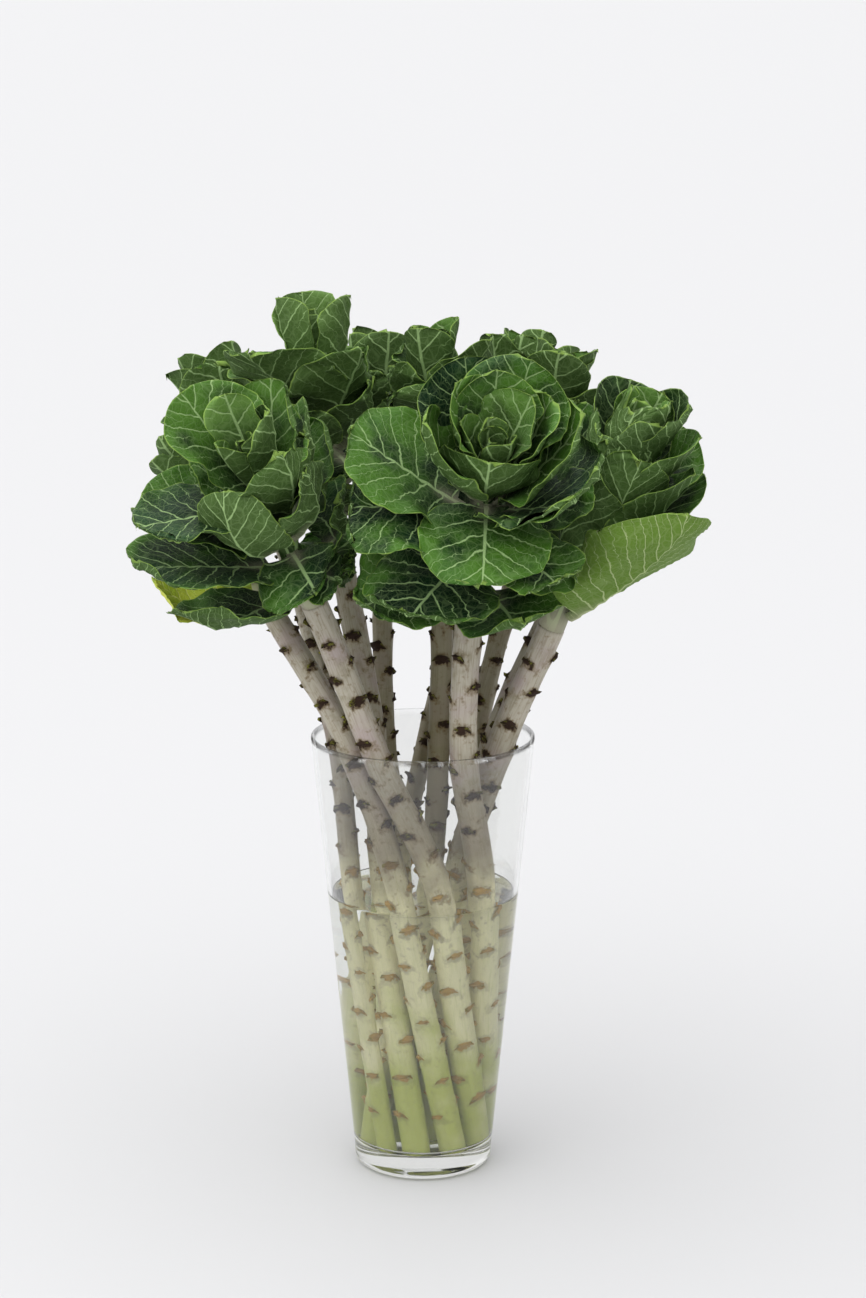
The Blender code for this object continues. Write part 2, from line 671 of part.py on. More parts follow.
def make_head(own, stems, parts, materials):
    """A head: its leaves joined to the leafy end of the stem, and its loose leaf if it has one."""
    stem = stems[own]
    plant = stem.plant
    start = stem.neck + stem.axis * GAP
    top = stem.crown + stem.axis * 0.008
    radius = plant.radius * STEM_TAPER
    core = tube("core", [start, start.lerp(top, 0.8), top], [radius, radius * 0.8, radius * 0.45], parts)
    leaves = new_collection("leaves")
    for layer, leaf in enumerate(head_leaves(plant)):
        if layer == 0 and plant.name in LOOSE_LEAVES:
            name = LOOSE_LEAVES[plant.name]
            finish_node(make_leaf(own, leaf, layer, stems, parts, True), name, materials[name], parts)
        else:
            make_leaf(own, leaf, layer, stems, leaves)
    combine(core, leaves, "UNION")
    finish_node(core, "head_" + plant.name, materials["leaf"], parts)


def main():
    """Builds the vase, the water, the stems and the heads."""
    clear_scene()
    materials = {name: make_material(name) for name in COLOURS}
    parts = new_collection("ornamental_cabbage")
    stems = settle_stems()
    make_vase(parts, materials["glass"])
    make_water(parts, stems, materials["water"])
    for stem in stems:
        make_stem(stem, stems, parts, materials["stem"])
    for own in range(len(stems)):
        make_head(own, stems, parts, materials)


main()
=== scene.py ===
"""Looks for a vase of cut ornamental cabbage: veined leaves, scarred stems, glass and water on a pale floor.

Metres, +Z up. The origin is the middle of the vase's underside, and -Y is the front of the bunch.
"""

import logging
import math
import random
from dataclasses import dataclass, field
from enum import Enum

import bmesh
import bpy
import numpy as np
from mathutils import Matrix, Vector


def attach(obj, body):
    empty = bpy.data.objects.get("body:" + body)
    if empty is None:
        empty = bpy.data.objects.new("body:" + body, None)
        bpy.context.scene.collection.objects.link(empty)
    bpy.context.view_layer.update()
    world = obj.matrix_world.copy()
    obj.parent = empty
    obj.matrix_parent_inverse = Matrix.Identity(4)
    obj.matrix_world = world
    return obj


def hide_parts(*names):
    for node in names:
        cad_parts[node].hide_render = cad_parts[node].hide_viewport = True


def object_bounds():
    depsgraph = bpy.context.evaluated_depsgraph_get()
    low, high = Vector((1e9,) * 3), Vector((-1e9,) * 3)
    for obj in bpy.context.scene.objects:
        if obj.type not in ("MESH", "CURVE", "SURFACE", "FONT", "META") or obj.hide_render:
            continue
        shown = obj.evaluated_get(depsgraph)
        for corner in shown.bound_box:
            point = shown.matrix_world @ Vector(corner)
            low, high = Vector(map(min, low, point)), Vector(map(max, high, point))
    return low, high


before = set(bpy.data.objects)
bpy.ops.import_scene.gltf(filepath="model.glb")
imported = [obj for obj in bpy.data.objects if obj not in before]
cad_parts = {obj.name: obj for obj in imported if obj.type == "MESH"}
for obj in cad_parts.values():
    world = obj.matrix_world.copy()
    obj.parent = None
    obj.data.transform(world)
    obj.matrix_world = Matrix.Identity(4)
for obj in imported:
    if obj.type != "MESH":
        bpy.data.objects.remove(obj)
CAD_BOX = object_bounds()

LOG = logging.getLogger("ornamental_cabbage")

Colour = tuple[float, float, float, float]

# Glass and water
VASE_HEIGHT = 0.300
RIM_RADIUS = 0.075
FOOT_RADIUS = 0.0475
FLOOR = 0.017
WALL = 0.0027
FOOT_ROUNDING = 0.006
WATER_LEVEL = 0.190
GAP = 0.0003
SEAM = 0.00002

# Stems
STEM_TAPER = 0.94
NECK_BARE = 0.010
SCAR_OUT = 0.0030
SCAR_STEP = 0.0525 / 6
SCAR_START = 0.030
SCAR_CLEARANCE = 0.0009
SCAR_ABOVE_RIM = 0.004
FOOT_OVERRUN = 0.006
STEM_CLEARANCE = 0.0024
WALL_CLEARANCE = 0.0036
TILT_ALLOWANCE = 1.07
SETTLING_ROUNDS = 400
SETTLING_PUSH = 0.25
SETTLING_HEIGHTS = 9

# Leaves
GOLDEN_TURN = math.radians(137.5)
STALK_HALF_WIDTH = 0.0042
LONGEST_INNER = 0.084
HEART_LEAVES = 5
HEART_SEED = 50
HEART_LAYER = 0.5
WIDEST_WRAP = math.radians(75)
RIB_STEPS = 40
LAYER_STEP = 0.0008
OWN_ZONE = 0.016
NEIGHBOUR_GAP = 0.0034
BARE_STEM_GAP = 0.0050
PRESS_STEPS = 48


@dataclass(frozen=True)
class Plant:
    """One cut stem with its head. Plan points are (x, y)."""

    name: str
    radius: float
    foot: tuple
    surface: tuple
    rim: tuple
    neck: tuple
    crown: tuple
    centre: tuple
    reach: float
    leaves: int
    first_turn: float


@dataclass(frozen=True)
class Leaf:
    """One leaf. Its leans are angles from the head's axis, and its turn is about that axis."""

    rise: float
    turn: float
    root_lean: float
    tip_lean: float
    length: float
    width: float
    petiole: float
    cup: float
    tone: float = 0.0


PLANTS = (
    Plant("left_back", 0.0066, (-0.012, -0.029), (-0.038, -0.014), (-0.060, 0.012),
          (-0.100, 0.058, 0.432), (-0.131, 0.088, 0.504), (-0.131, 0.092, 0.510), 0.073, 11, 20),
    Plant("left_side", 0.0083, (0.024, -0.020), (-0.017, -0.034), (-0.048, -0.036),
          (-0.106, -0.008, 0.398), (-0.140, 0.014, 0.460), (-0.138, 0.024, 0.474), 0.067, 11, 65),
    Plant("left_front", 0.0092, (0.031, -0.003), (0.003, -0.040), (-0.032, -0.052),
          (-0.070, -0.058, 0.402), (-0.100, -0.092, 0.480), (-0.110, -0.058, 0.476), 0.092, 0, 0),
    Plant("left_top", 0.0085, (0.008, -0.030), (-0.012, -0.012), (-0.033, -0.004),
          (-0.058, 0.022, 0.440), (-0.070, 0.034, 0.532), (-0.070, 0.035, 0.530), 0.086, 0, 28),
    Plant("back_left", 0.0070, (-0.008, -0.008), (-0.018, 0.008), (-0.026, 0.024),
          (-0.028, 0.074, 0.434), (-0.030, 0.104, 0.508), (-0.028, 0.110, 0.515), 0.078, 11, 140),
    Plant("back_right", 0.0064, (-0.032, -0.001), (-0.009, 0.026), (0.006, 0.050),
          (0.046, 0.092, 0.434), (0.066, 0.112, 0.508), (0.072, 0.116, 0.513), 0.080, 11, 200),
    Plant("middle", 0.0075, (-0.028, -0.018), (0.003, 0.004), (0.011, 0.012),
          (0.012, 0.024, 0.448), (0.008, 0.030, 0.524), (0.008, 0.032, 0.528), 0.078, 11, 310),
    Plant("front", 0.0094, (0.028, 0.017), (0.024, -0.034), (0.027, -0.046),
          (0.032, -0.058, 0.404), (0.041, -0.108, 0.486), (0.024, -0.080, 0.490), 0.104, 0, 0),
    Plant("right_back", 0.0070, (0.010, 0.031), (0.026, 0.022), (0.038, 0.026),
          (0.070, 0.044, 0.432), (0.086, 0.052, 0.510), (0.090, 0.052, 0.516), 0.076, 11, 100),
    Plant("right_side", 0.0085, (-0.012, 0.030), (0.034, 0.002), (0.050, 0.006),
          (0.100, 0.028, 0.406), (0.130, 0.042, 0.474), (0.132, 0.046, 0.482), 0.072, 11, 330),
    Plant("right_front", 0.0095, (0.006, 0.006), (0.037, -0.017), (0.053, -0.029),
          (0.084, -0.033, 0.380), (0.122, -0.052, 0.482), (0.120, -0.025, 0.474), 0.084, 0, 0),
)

# Leaves of the four heads that show most, from the outside in: rise, turn, lean at root and tip, length,
# width, petiole, cup, and paleness where there is some
FRONT_LEAVES = {
    "left_top": (
        (0.10, 292, 98, 152, 0.112, 0.110, 0.25, 0.3), (0.54, 290, 100, 150, 0.122, 0.116, 0.25, 0.3),
        (0.18, 182, 64, 66, 0.096, 0.086, 0.25, 0.6), (0.06, 232, 98, 132, 0.110, 0.110, 0.25, 0.3),
        (0.24, 40, 64, 66, 0.096, 0.086, 0.25, 0.6), (0.32, 110, 60, 60, 0.094, 0.086, 0.24, 0.7),
        (0.44, 234, 60, 62, 0.088, 0.080, 0.22, 0.6, 0.4), (0.48, 335, 56, 60, 0.084, 0.080, 0.22, 0.7, 0.4),
        (0.54, 150, 48, 40, 0.088, 0.080, 0.20, 0.7, 0.5), (0.60, 68, 46, 34, 0.086, 0.080, 0.20, 0.7, 0.5),
        (0.64, 304, 50, 48, 0.080, 0.080, 0.20, 0.6, 0.7), (0.70, 230, 46, 56, 0.088, 0.090, 0.14, 0.5, 0.3),
        (0.76, 358, 28, 10, 0.082, 0.070, 0.16, 0.7, 0.9), (0.80, 196, 24, 2, 0.080, 0.064, 0.12, 0.8, 0.9),
        (0.82, 100, 17, 6, 0.080, 0.072, 0.10, 0.5, 0.8), (0.92, 320, 14, -6, 0.056, 0.050, 0.10, 0.8, 0.8),
        (0.98, 30, 12, -4, 0.044, 0.040, 0.10, 0.8, 0.6),
    ),
    "left_front": (
        (0.05, 170, 82, 88, 0.136, 0.084, 0.30, 0.5), (0.12, 216, 74, 86, 0.112, 0.090, 0.18, 0.5),
        (0.14, 24, 100, 128, 0.100, 0.100, 0.25, 0.4), (0.20, 64, 96, 126, 0.104, 0.100, 0.25, 0.3),
        (0.30, 326, 90, 148, 0.078, 0.058, 0.16, 0.4), (0.22, 30, 66, 76, 0.096, 0.084, 0.28, 0.7),
        (0.30, 195, 58, 66, 0.114, 0.090, 0.18, 0.5), (0.34, 120, 62, 60, 0.100, 0.090, 0.26, 0.7),
        (0.50, 290, 92, 138, 0.072, 0.070, 0.14, 0.5), (0.46, 75, 58, 56, 0.098, 0.088, 0.24, 0.7),
        (0.52, 168, 58, 48, 0.098, 0.084, 0.22, 0.7), (0.57, 336, 60, 30, 0.086, 0.076, 0.20, 0.8),
        (0.62, 246, 92, -44, 0.088, 0.060, 0.16, 0.8, 0.35), (0.68, 100, 50, 42, 0.094, 0.088, 0.20, 0.8),
        (0.73, 24, 52, 40, 0.088, 0.080, 0.20, 0.8, 0.1), (0.74, 315, 58, 4, 0.078, 0.074, 0.14, 0.8, 0.1),
        (0.85, 197, 66, 76, 0.090, 0.080, 0.20, 0.6), (0.87, 62, 42, 32, 0.080, 0.074, 0.18, 0.8, 0.2),
        (0.92, 134, 34, 26, 0.086, 0.080, 0.12, 0.6, 0.1), (0.97, 0, 34, 10, 0.062, 0.058, 0.12, 0.9, 0.3),
        (1.00, 96, 22, 10, 0.066, 0.054, 0.10, 0.7, 0.75),
    ),
    "front": (
        (0.18, 152, 100, 126, 0.104, 0.104, 0.25, 0.4), (0.20, 300, 82, 104, 0.084, 0.078, 0.24, 0.6),
        (0.16, 60, 66, 76, 0.100, 0.088, 0.30, 0.7), (0.24, 204, 82, 118, 0.100, 0.084, 0.26, 0.6),
        (0.30, 6, 74, 86, 0.088, 0.080, 0.24, 0.6), (0.34, 130, 66, 66, 0.106, 0.092, 0.24, 0.7),
        (0.46, 236, 80, 116, 0.098, 0.088, 0.24, 0.5), (0.48, 95, 56, 46, 0.104, 0.092, 0.26, 0.7),
        (0.54, 30, 62, 58, 0.102, 0.090, 0.24, 0.7), (0.62, 310, 76, 96, 0.086, 0.064, 0.22, 0.7),
        (0.72, 190, 72, 94, 0.106, 0.096, 0.22, 0.5), (0.70, 162, 66, 66, 0.104, 0.096, 0.22, 0.6),
        (0.76, 345, 60, 40, 0.098, 0.094, 0.20, 0.8), (0.88, 268, 82, 112, 0.078, 0.086, 0.12, 0.4),
        (0.80, 322, 60, 46, 0.084, 0.080, 0.18, 0.8), (0.83, 110, 46, 28, 0.094, 0.092, 0.18, 0.8),
        (0.86, 8, 56, 16, 0.090, 0.090, 0.16, 0.8), (0.88, 66, 42, 22, 0.092, 0.088, 0.16, 0.8, 0.05),
        (0.90, 192, 58, 8, 0.082, 0.074, 0.14, 0.9, 0.1), (0.94, 262, 60, -6, 0.058, 0.094, 0.10, 0.6, 0.15),
        (0.94, 24, 44, 6, 0.078, 0.076, 0.14, 0.9, 0.1), (0.96, 92, 32, 10, 0.078, 0.076, 0.12, 0.8, 0.15),
        (0.98, 150, 36, 8, 0.076, 0.078, 0.10, 0.7, 0.2), (1.00, 36, 22, 22, 0.066, 0.066, 0.10, 0.6, 0.5),
        (1.02, 118, 14, 8, 0.046, 0.042, 0.10, 0.8, 0.7),
    ),
    "right_front": (
        (0.04, 312, 42, 20, 0.136, 0.108, 0.16, 0.4), (0.10, 228, 36, 0, 0.118, 0.084, 0.22, 0.8, 0.1),
        (0.16, 150, 46, 36, 0.106, 0.088, 0.24, 0.8), (0.22, 338, 27, 18, 0.122, 0.076, 0.22, 0.6),
        (0.22, 280, 28, 4, 0.120, 0.074, 0.22, 0.7, 0.1), (0.30, 20, 38, 28, 0.112, 0.086, 0.24, 0.7),
        (0.36, 85, 44, 34, 0.106, 0.090, 0.24, 0.8), (0.42, 250, 27, -8, 0.096, 0.074, 0.20, 0.8, 0.1),
        (0.48, 352, 26, 16, 0.112, 0.084, 0.22, 0.7), (0.54, 126, 42, 30, 0.096, 0.086, 0.20, 0.8),
        (0.60, 50, 42, 30, 0.098, 0.088, 0.20, 0.8), (0.66, 308, 25, 0, 0.088, 0.072, 0.18, 0.8, 0.1),
        (0.72, 200, 36, 6, 0.080, 0.072, 0.18, 0.8, 0.1), (0.78, 6, 25, 12, 0.096, 0.080, 0.16, 0.8, 0.1),
        (0.83, 98, 38, 22, 0.084, 0.080, 0.16, 0.8, 0.1), (0.87, 250, 26, -10, 0.072, 0.070, 0.14, 0.8, 0.3),
        (0.91, 330, 24, 0, 0.072, 0.068, 0.14, 0.9, 0.3), (0.95, 60, 30, 10, 0.068, 0.066, 0.12, 0.8, 0.4),
        (0.98, 165, 26, 6, 0.064, 0.062, 0.12, 0.8, 0.5), (1.00, 110, 14, 4, 0.052, 0.048, 0.10, 0.8, 0.7),
    ),
}

# The lowest leaf of two heads has its own colour and is a piece of its own
LOOSE_LEAVES = {"left_front": "yellow_leaf", "right_front": "light_leaf"}


def distance_to_line(points: np.ndarray, line: list) -> np.ndarray:
    """Distance of each point to a polyline.

    Args:
        points: Points in the last axis.
        line: The polyline's points.

    Returns:
        One distance for each point.
    """
    best = np.full(points.shape[:-1], 10.0)
    for first, second in zip(line, line[1:]):
        span = second - first
        share = np.clip(((points - first) @ span) / (span @ span), 0, 1)
        best = np.minimum(best, np.linalg.norm(points - first - share[..., None] * span, axis=-1))
    return best


def inner_radius(z: float) -> float:
    """Radius of the vase's inner wall at a height."""
    share = (z - FLOOR) / (VASE_HEIGHT - FLOOR)
    return FOOT_RADIUS + (RIM_RADIUS - FOOT_RADIUS) * share - WALL


def object_from(bm: bmesh.types.BMesh, name: str) -> bpy.types.Object:
    """Moves a bmesh into a new object of the scene.

    Args:
        bm: The mesh being built, which is freed.
        name: Name for the object and its mesh.

    Returns:
        The object.
    """
    mesh = bpy.data.meshes.new(name)
    bm.to_mesh(mesh)
    bm.free()
    obj = bpy.data.objects.new(name, mesh)
    bpy.context.scene.collection.objects.link(obj)
    return obj


def write_attribute(mesh: bpy.types.Mesh, name: str, values: np.ndarray) -> None:
    """Stores a number or a vector for each point of a mesh.

    Args:
        mesh: The mesh.
        name: Name that a material reads.
        values: One number, or one row of three numbers, for each point.
    """
    kind, field_name = ("FLOAT", "value") if values.ndim == 1 else ("FLOAT_VECTOR", "vector")
    layer = mesh.attributes.new(name, kind, "POINT")
    layer.data.foreach_set(field_name, np.ascontiguousarray(values, np.float32).ravel())


def point_layers(bm: bmesh.types.BMesh) -> list[bmesh.types.BMLayerItem]:
    """Adds the two vectors that the finishes read from each point: its place and its traits."""
    return [bm.verts.layers.float_vector.new(name) for name in ("place", "traits")]


def close_tube(bm: bmesh.types.BMesh) -> None:
    """Joins a rolled grid's seam, caps its ends and turns its faces outwards.

    Args:
        bm: The mesh being built.
    """
    bmesh.ops.remove_doubles(bm, verts=bm.verts, dist=SEAM)
    bmesh.ops.holes_fill(bm, edges=bm.edges, sides=0)
    bmesh.ops.recalc_face_normals(bm, faces=bm.faces)


def publish(piece: bpy.types.Object, material: bpy.types.Material, node: str) -> None:
    """Dresses a finished piece and hides the solid that it replaces.

    Args:
        piece: The piece.
        material: Its finish.
        node: The solid that the piece replaces.
    """
    piece.data.materials.clear()
    piece.data.materials.append(material)
    piece.data.shade_smooth()
    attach(piece, "root")
    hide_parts(node)
    LOG.info("%s: %d faces", piece.name, len(piece.data.polygons))


# Shader graphs

class Graph:
    """Adds nodes to a shader tree and wires them."""

    def __init__(self, tree: bpy.types.NodeTree) -> None:
        """Keeps the tree that nodes go into."""
        self.tree = tree

    def feed(self, socket: bpy.types.NodeSocket, value: object) -> None:
        """Links a socket to another one, or sets its value.

        Args:
            socket: The input that is fed.
            value: An output to link, or a plain value.
        """
        if isinstance(value, bpy.types.NodeSocket):
            self.tree.links.new(value, socket)
        else:
            socket.default_value = value

    def add(self, kind: str, inputs: dict | None = None, **settings: object) -> bpy.types.Node:
        """Adds a node.

        Args:
            kind: The node's type.
            inputs: Values or sockets for its inputs, by name.
            settings: The node's own settings.

        Returns:
            The node.
        """
        node = self.tree.nodes.new(kind)
        for name, value in settings.items():
            setattr(node, name, value)
        for name, value in (inputs or {}).items():
            self.feed(node.inputs[name], value)
        return node

    def math(self, operation: str, *values: object) -> bpy.types.NodeSocket:
        """Works out a number.

        Args:
            operation: The Math node's operation.
            values: Its numbers or sockets, in order.

        Returns:
            The result.
        """
        node = self.add("ShaderNodeMath", operation=operation)
        for socket, value in zip(node.inputs, values):
            self.feed(socket, value)
        return node.outputs[0]

    def fade(
        self, value: object, start: object, end: object, low: float = 0.0, high: float = 1.0
    ) -> bpy.types.NodeSocket:
        """A smooth step of a value, from low at start to high at end."""
        inputs = {"Value": value, "From Min": start, "From Max": end, "To Min": low, "To Max": high}
        return self.add("ShaderNodeMapRange", inputs, interpolation_type="SMOOTHSTEP").outputs[0]

    def mix(self, factor: object, first: object, second: object) -> bpy.types.NodeSocket:
        """Mixes two colours.

        Args:
            factor: Share of the second colour.
            first: The first colour.
            second: The second colour.

        Returns:
            The mixed colour.
        """
        node = self.add("ShaderNodeMix", data_type="RGBA")
        for socket, value in zip((node.inputs[0], node.inputs[6], node.inputs[7]), (factor, first, second)):
            self.feed(socket, value)
        return node.outputs[2]

    def noise(self, vector: object, scale: float, detail: float = 2.0) -> bpy.types.NodeSocket:
        """A noise value between 0 and 1."""
        inputs = {"Vector": vector, "Scale": scale, "Detail": detail}
        return self.add("ShaderNodeTexNoise", inputs).outputs[0]

    def parts(self, vector: object) -> bpy.types.bpy_prop_collection:
        """The three numbers of a vector."""
        return self.add("ShaderNodeSeparateXYZ", {"Vector": vector}).outputs

    def carried(self, name: str) -> bpy.types.Node:
        """What each point of a mesh carries under a name."""
        return self.add("ShaderNodeAttribute", attribute_name=name)

    def position(self) -> bpy.types.NodeSocket:
        """Object coordinates, which are the shared frame's own."""
        return self.add("ShaderNodeTexCoord").outputs["Object"]

    def relief(self, height: object, strength: float, distance: float) -> bpy.types.NodeSocket:
        """A normal bent by a small height."""
        inputs = {"Height": height, "Strength": strength, "Distance": distance}
        return self.add("ShaderNodeBump", inputs).outputs[0]

    def group(self, tree: bpy.types.NodeTree, inputs: dict) -> bpy.types.Node:
        """Places a node group with its own values.

        Args:
            tree: The shared group.
            inputs: Values or sockets for its inputs, by name.

        Returns:
            The group's node.
        """
        node = self.add("ShaderNodeGroup", node_tree=tree)
        for name, value in inputs.items():
            self.feed(node.inputs[name], value)
        return node


def new_material(name: str) -> tuple[bpy.types.Material, Graph, bpy.types.Node]:
    """Starts a material.

    Args:
        name: The material's name.

    Returns:
        The material, the graph of its nodes and its surface shader.
    """
    material = bpy.data.materials.new(name)
    material.use_nodes = True
    return material, Graph(material.node_tree), material.node_tree.nodes["Principled BSDF"]


def new_group(name: str, inputs: tuple, outputs: tuple) -> tuple[Graph, bpy.types.Node, bpy.types.Node]:
    """Starts a shader node group.

    Args:
        name: The group's name.
        inputs: Names of its number inputs.
        outputs: Names of its number outputs.

    Returns:
        The graph inside it, and its input and output nodes.
    """
    tree = bpy.data.node_groups.new(name, "ShaderNodeTree")
    for label in inputs:
        tree.interface.new_socket(label, in_out="INPUT", socket_type="NodeSocketFloat")
    for label in outputs:
        tree.interface.new_socket(label, in_out="OUTPUT", socket_type="NodeSocketFloat")
    graph = Graph(tree)
    return graph, graph.add("NodeGroupInput"), graph.add("NodeGroupOutput")


# Veins, in the blade's own measures

VEIN_SPACING = 0.0125
VEIN_SLOPE = 0.25
VEIN_BEND = 3.0
VEIN_FAN = 15.0
VEIN_DRIFT = 0.010
FINE_DRIFT = 0.0024
RIB_WIDTH = 0.0019
RIB_TAPER = 0.019
THINNEST_RIB = 0.00045
SIDE_WIDTH = 0.00100
SIDE_TAPER = 0.018
THINNEST_SIDE = 0.00032
FORK_WIDTH = 0.00036
NET_LAYERS = ((170.0, 0.75), (430.0, 0.40))


def vein_origin(across: np.ndarray, along: np.ndarray) -> np.ndarray:
    """Where on the midrib the side vein through a point would start, in vein spacings.

    Args:
        across: Distance from the midrib, signed.
        along: Distance up the blade.

    Returns:
        A number that is whole on a side vein.
    """
    out = np.abs(across)
    start = (along - VEIN_SLOPE * out - VEIN_BEND * out ** 2) / (1 + VEIN_FAN * out)
    return start / VEIN_SPACING + 0.5 * (across > 0)


def vein_group() -> bpy.types.NodeTree:
    """The veins of a blade: a midrib, side veins that fork, and a net between them.

    Returns:
        A group that puts out masks for the veins and for the net.
    """
    graph, given, made = new_group("leaf_veins", ("Across", "Along", "Seed"), ("Veins", "Net"))
    across, along, seed = (given.outputs[name] for name in ("Across", "Along", "Seed"))
    place = graph.add("ShaderNodeCombineXYZ", {"X": across, "Y": along, "Z": seed}).outputs[0]
    drift = graph.math("MULTIPLY_ADD", graph.noise(place, 55.0), VEIN_DRIFT, -VEIN_DRIFT / 2)
    fine_drift = graph.math("MULTIPLY_ADD", graph.noise(place, 210.0), FINE_DRIFT, -FINE_DRIFT / 2)
    out = graph.math("ABSOLUTE", across)
    tapered = graph.math("MULTIPLY_ADD", along, -RIB_TAPER, RIB_WIDTH)
    rib_width = graph.math("MAXIMUM", tapered, THINNEST_RIB)
    off_rib = graph.math("ABSOLUTE", graph.math("MULTIPLY_ADD", drift, 0.16, across))
    rib = graph.fade(off_rib, graph.math("MULTIPLY", rib_width, 0.45), rib_width, 1.0, 0.0)
    bend = graph.math("MULTIPLY_ADD", out, VEIN_BEND, VEIN_SLOPE)
    rise = graph.math("SUBTRACT", along, graph.math("MULTIPLY", out, bend))
    moved = graph.math("ADD", rise, graph.math("ADD", drift, fine_drift))
    spread = graph.math("MULTIPLY_ADD", out, VEIN_FAN, 1.0)
    start = graph.math("DIVIDE", moved, spread)
    right = graph.math("GREATER_THAN", across, 0.0)
    count = graph.math("ADD", graph.math("DIVIDE", start, VEIN_SPACING), graph.math("MULTIPLY", right, 0.5))

    def lines(number: object, spacing: float, width: object) -> bpy.types.NodeSocket:
        """Draws lines wherever a number is whole.

        Args:
            number: What is counted.
            spacing: Metres from one whole number to the next at the midrib.
            width: Half width of a line, in metres.

        Returns:
            A mask of the lines.
        """
        off = graph.math("PINGPONG", number, 0.5)
        distance = graph.math("MULTIPLY", off, graph.math("MULTIPLY", spread, spacing))
        return graph.fade(distance, graph.math("MULTIPLY", width, 0.4), width, 1.0, 0.0)

    narrowed = graph.math("MULTIPLY_ADD", out, -SIDE_TAPER, SIDE_WIDTH)
    side = lines(count, VEIN_SPACING, graph.math("MAXIMUM", narrowed, THINNEST_SIDE))
    forked = graph.math("MULTIPLY_ADD", fine_drift, 220.0, graph.math("MULTIPLY", count, 2.0))
    fork = lines(forked, VEIN_SPACING / 2, FORK_WIDTH)
    fork = graph.math("MULTIPLY", fork, graph.fade(out, 0.008, 0.020, 0.0, 0.75))
    veins = graph.math("MAXIMUM", rib, graph.math("MAXIMUM", side, fork))
    graph.feed(made.inputs["Veins"], veins)
    bent = graph.add("ShaderNodeVectorMath", operation="ADD")
    graph.feed(bent.inputs[0], place)
    shift = graph.add("ShaderNodeCombineXYZ", {"X": fine_drift, "Y": drift}).outputs[0]
    graph.feed(bent.inputs[1], shift)
    nets = []
    for scale, strength in NET_LAYERS:
        inputs = {"Vector": bent.outputs[0], "Scale": scale}
        cells = graph.add("ShaderNodeTexVoronoi", inputs, feature="DISTANCE_TO_EDGE").outputs[0]
        nets.append(graph.fade(cells, 0.01, 0.10, strength, 0.0))
    graph.feed(made.inputs["Net"], graph.math("MAXIMUM", *nets))
    return graph.tree


@dataclass(frozen=True)
class LeafFinish:
    """Waxy leaf skin: dark between pale veins, paler towards the heart, and dull underneath."""

    name: str
    dark: Colour = (0.0018, 0.0130, 0.0034, 1.0)
    mid: Colour = (0.062, 0.165, 0.015, 1.0)
    bloom: Colour = (0.022, 0.070, 0.032, 1.0)
    heart: Colour = (0.150, 0.270, 0.060, 1.0)
    under: Colour = (0.060, 0.112, 0.026, 1.0)
    vein: Colour = (0.340, 0.500, 0.210, 1.0)
    edge: Colour = (0.300, 0.460, 0.090, 1.0)
    stalk: Colour = (0.390, 0.375, 0.270, 1.0)
    shine: float = 0.12
    vein_height: float = 0.0006

    def material(self, veins: bpy.types.NodeTree) -> bpy.types.Material:
        """Builds the finish.

        Args:
            veins: The shared vein group.

        Returns:
            The material.
        """
        material, graph, shader = new_material(self.name)
        across, along, from_edge = graph.parts(graph.carried("place").outputs["Vector"])
        tone, under, stalk = graph.parts(graph.carried("traits").outputs["Vector"])
        seed = graph.carried("leaf_number").outputs["Fac"]
        vein = graph.group(veins, {"Across": across, "Along": along, "Seed": seed})
        position = graph.position()
        broad = graph.noise(position, 38.0, 3.0)
        grain = graph.noise(position, 420.0, 2.0)
        # Each leaf has its own lightness, and is lighter towards its margin
        chance = graph.add("ShaderNodeTexWhiteNoise", {"W": seed}, noise_dimensions="1D").outputs["Value"]
        margin = graph.fade(from_edge, 0.001, 0.022, 0.10, -0.10)
        lightness = graph.math("MULTIPLY_ADD", chance, 0.55, graph.math("ADD", broad, -0.26))
        lightness = graph.math("ADD", lightness, margin)
        skin = graph.mix(graph.fade(lightness, 0.36, 0.68), self.dark, self.mid)
        patches = graph.math("MULTIPLY_ADD", chance, -0.2, graph.noise(position, 17.0))
        bloom = graph.fade(patches, 0.38, 0.62)
        skin = graph.mix(graph.math("MULTIPLY", bloom, 0.50), skin, self.bloom)
        skin = graph.mix(graph.math("MULTIPLY", tone, 0.72), skin, self.heart)
        # Painted shade: the hollow by the leafstalk is darkened to stand in for its shadow, and the underside
        # is dull
        depth = graph.fade(along, -0.002, 0.052, 0.92, 0.0)
        skin = graph.mix(depth, skin, self.dark)
        skin = graph.mix(graph.math("MULTIPLY", under, 0.85), skin, self.under)
        skin = graph.mix(graph.math("MULTIPLY", grain, 0.18), skin, self.dark)
        # Net, veins, pale edge and whitish stalk lie over the skin in that order
        skin = graph.mix(graph.math("MULTIPLY", vein.outputs["Net"], 0.17), skin, self.vein)
        skin = graph.mix(graph.math("MULTIPLY", vein.outputs["Veins"], 0.74), skin, self.vein)
        edge = graph.fade(from_edge, 0.0002, 0.0011, 0.60, 0.0)
        skin = graph.mix(edge, skin, self.edge)
        skin = graph.mix(stalk, skin, self.stalk)
        graph.feed(shader.inputs["Base Color"], skin)
        dull = graph.math("MULTIPLY_ADD", under, 0.22, graph.math("MULTIPLY_ADD", broad, 0.16, 0.34))
        graph.feed(shader.inputs["Roughness"], dull)
        shader.inputs["Specular IOR Level"].default_value = self.shine
        # Veins are sunk in the upper face and raised on the underside
        raised = graph.math("MULTIPLY_ADD", under, 2.0, -1.0)
        relief = graph.math("ADD", vein.outputs["Veins"], graph.math("MULTIPLY", vein.outputs["Net"], 0.5))
        height = graph.math("MULTIPLY_ADD", grain, 0.12, graph.math("MULTIPLY", relief, raised))
        graph.feed(shader.inputs["Normal"], graph.relief(height, 0.7, self.vein_height))
        return material


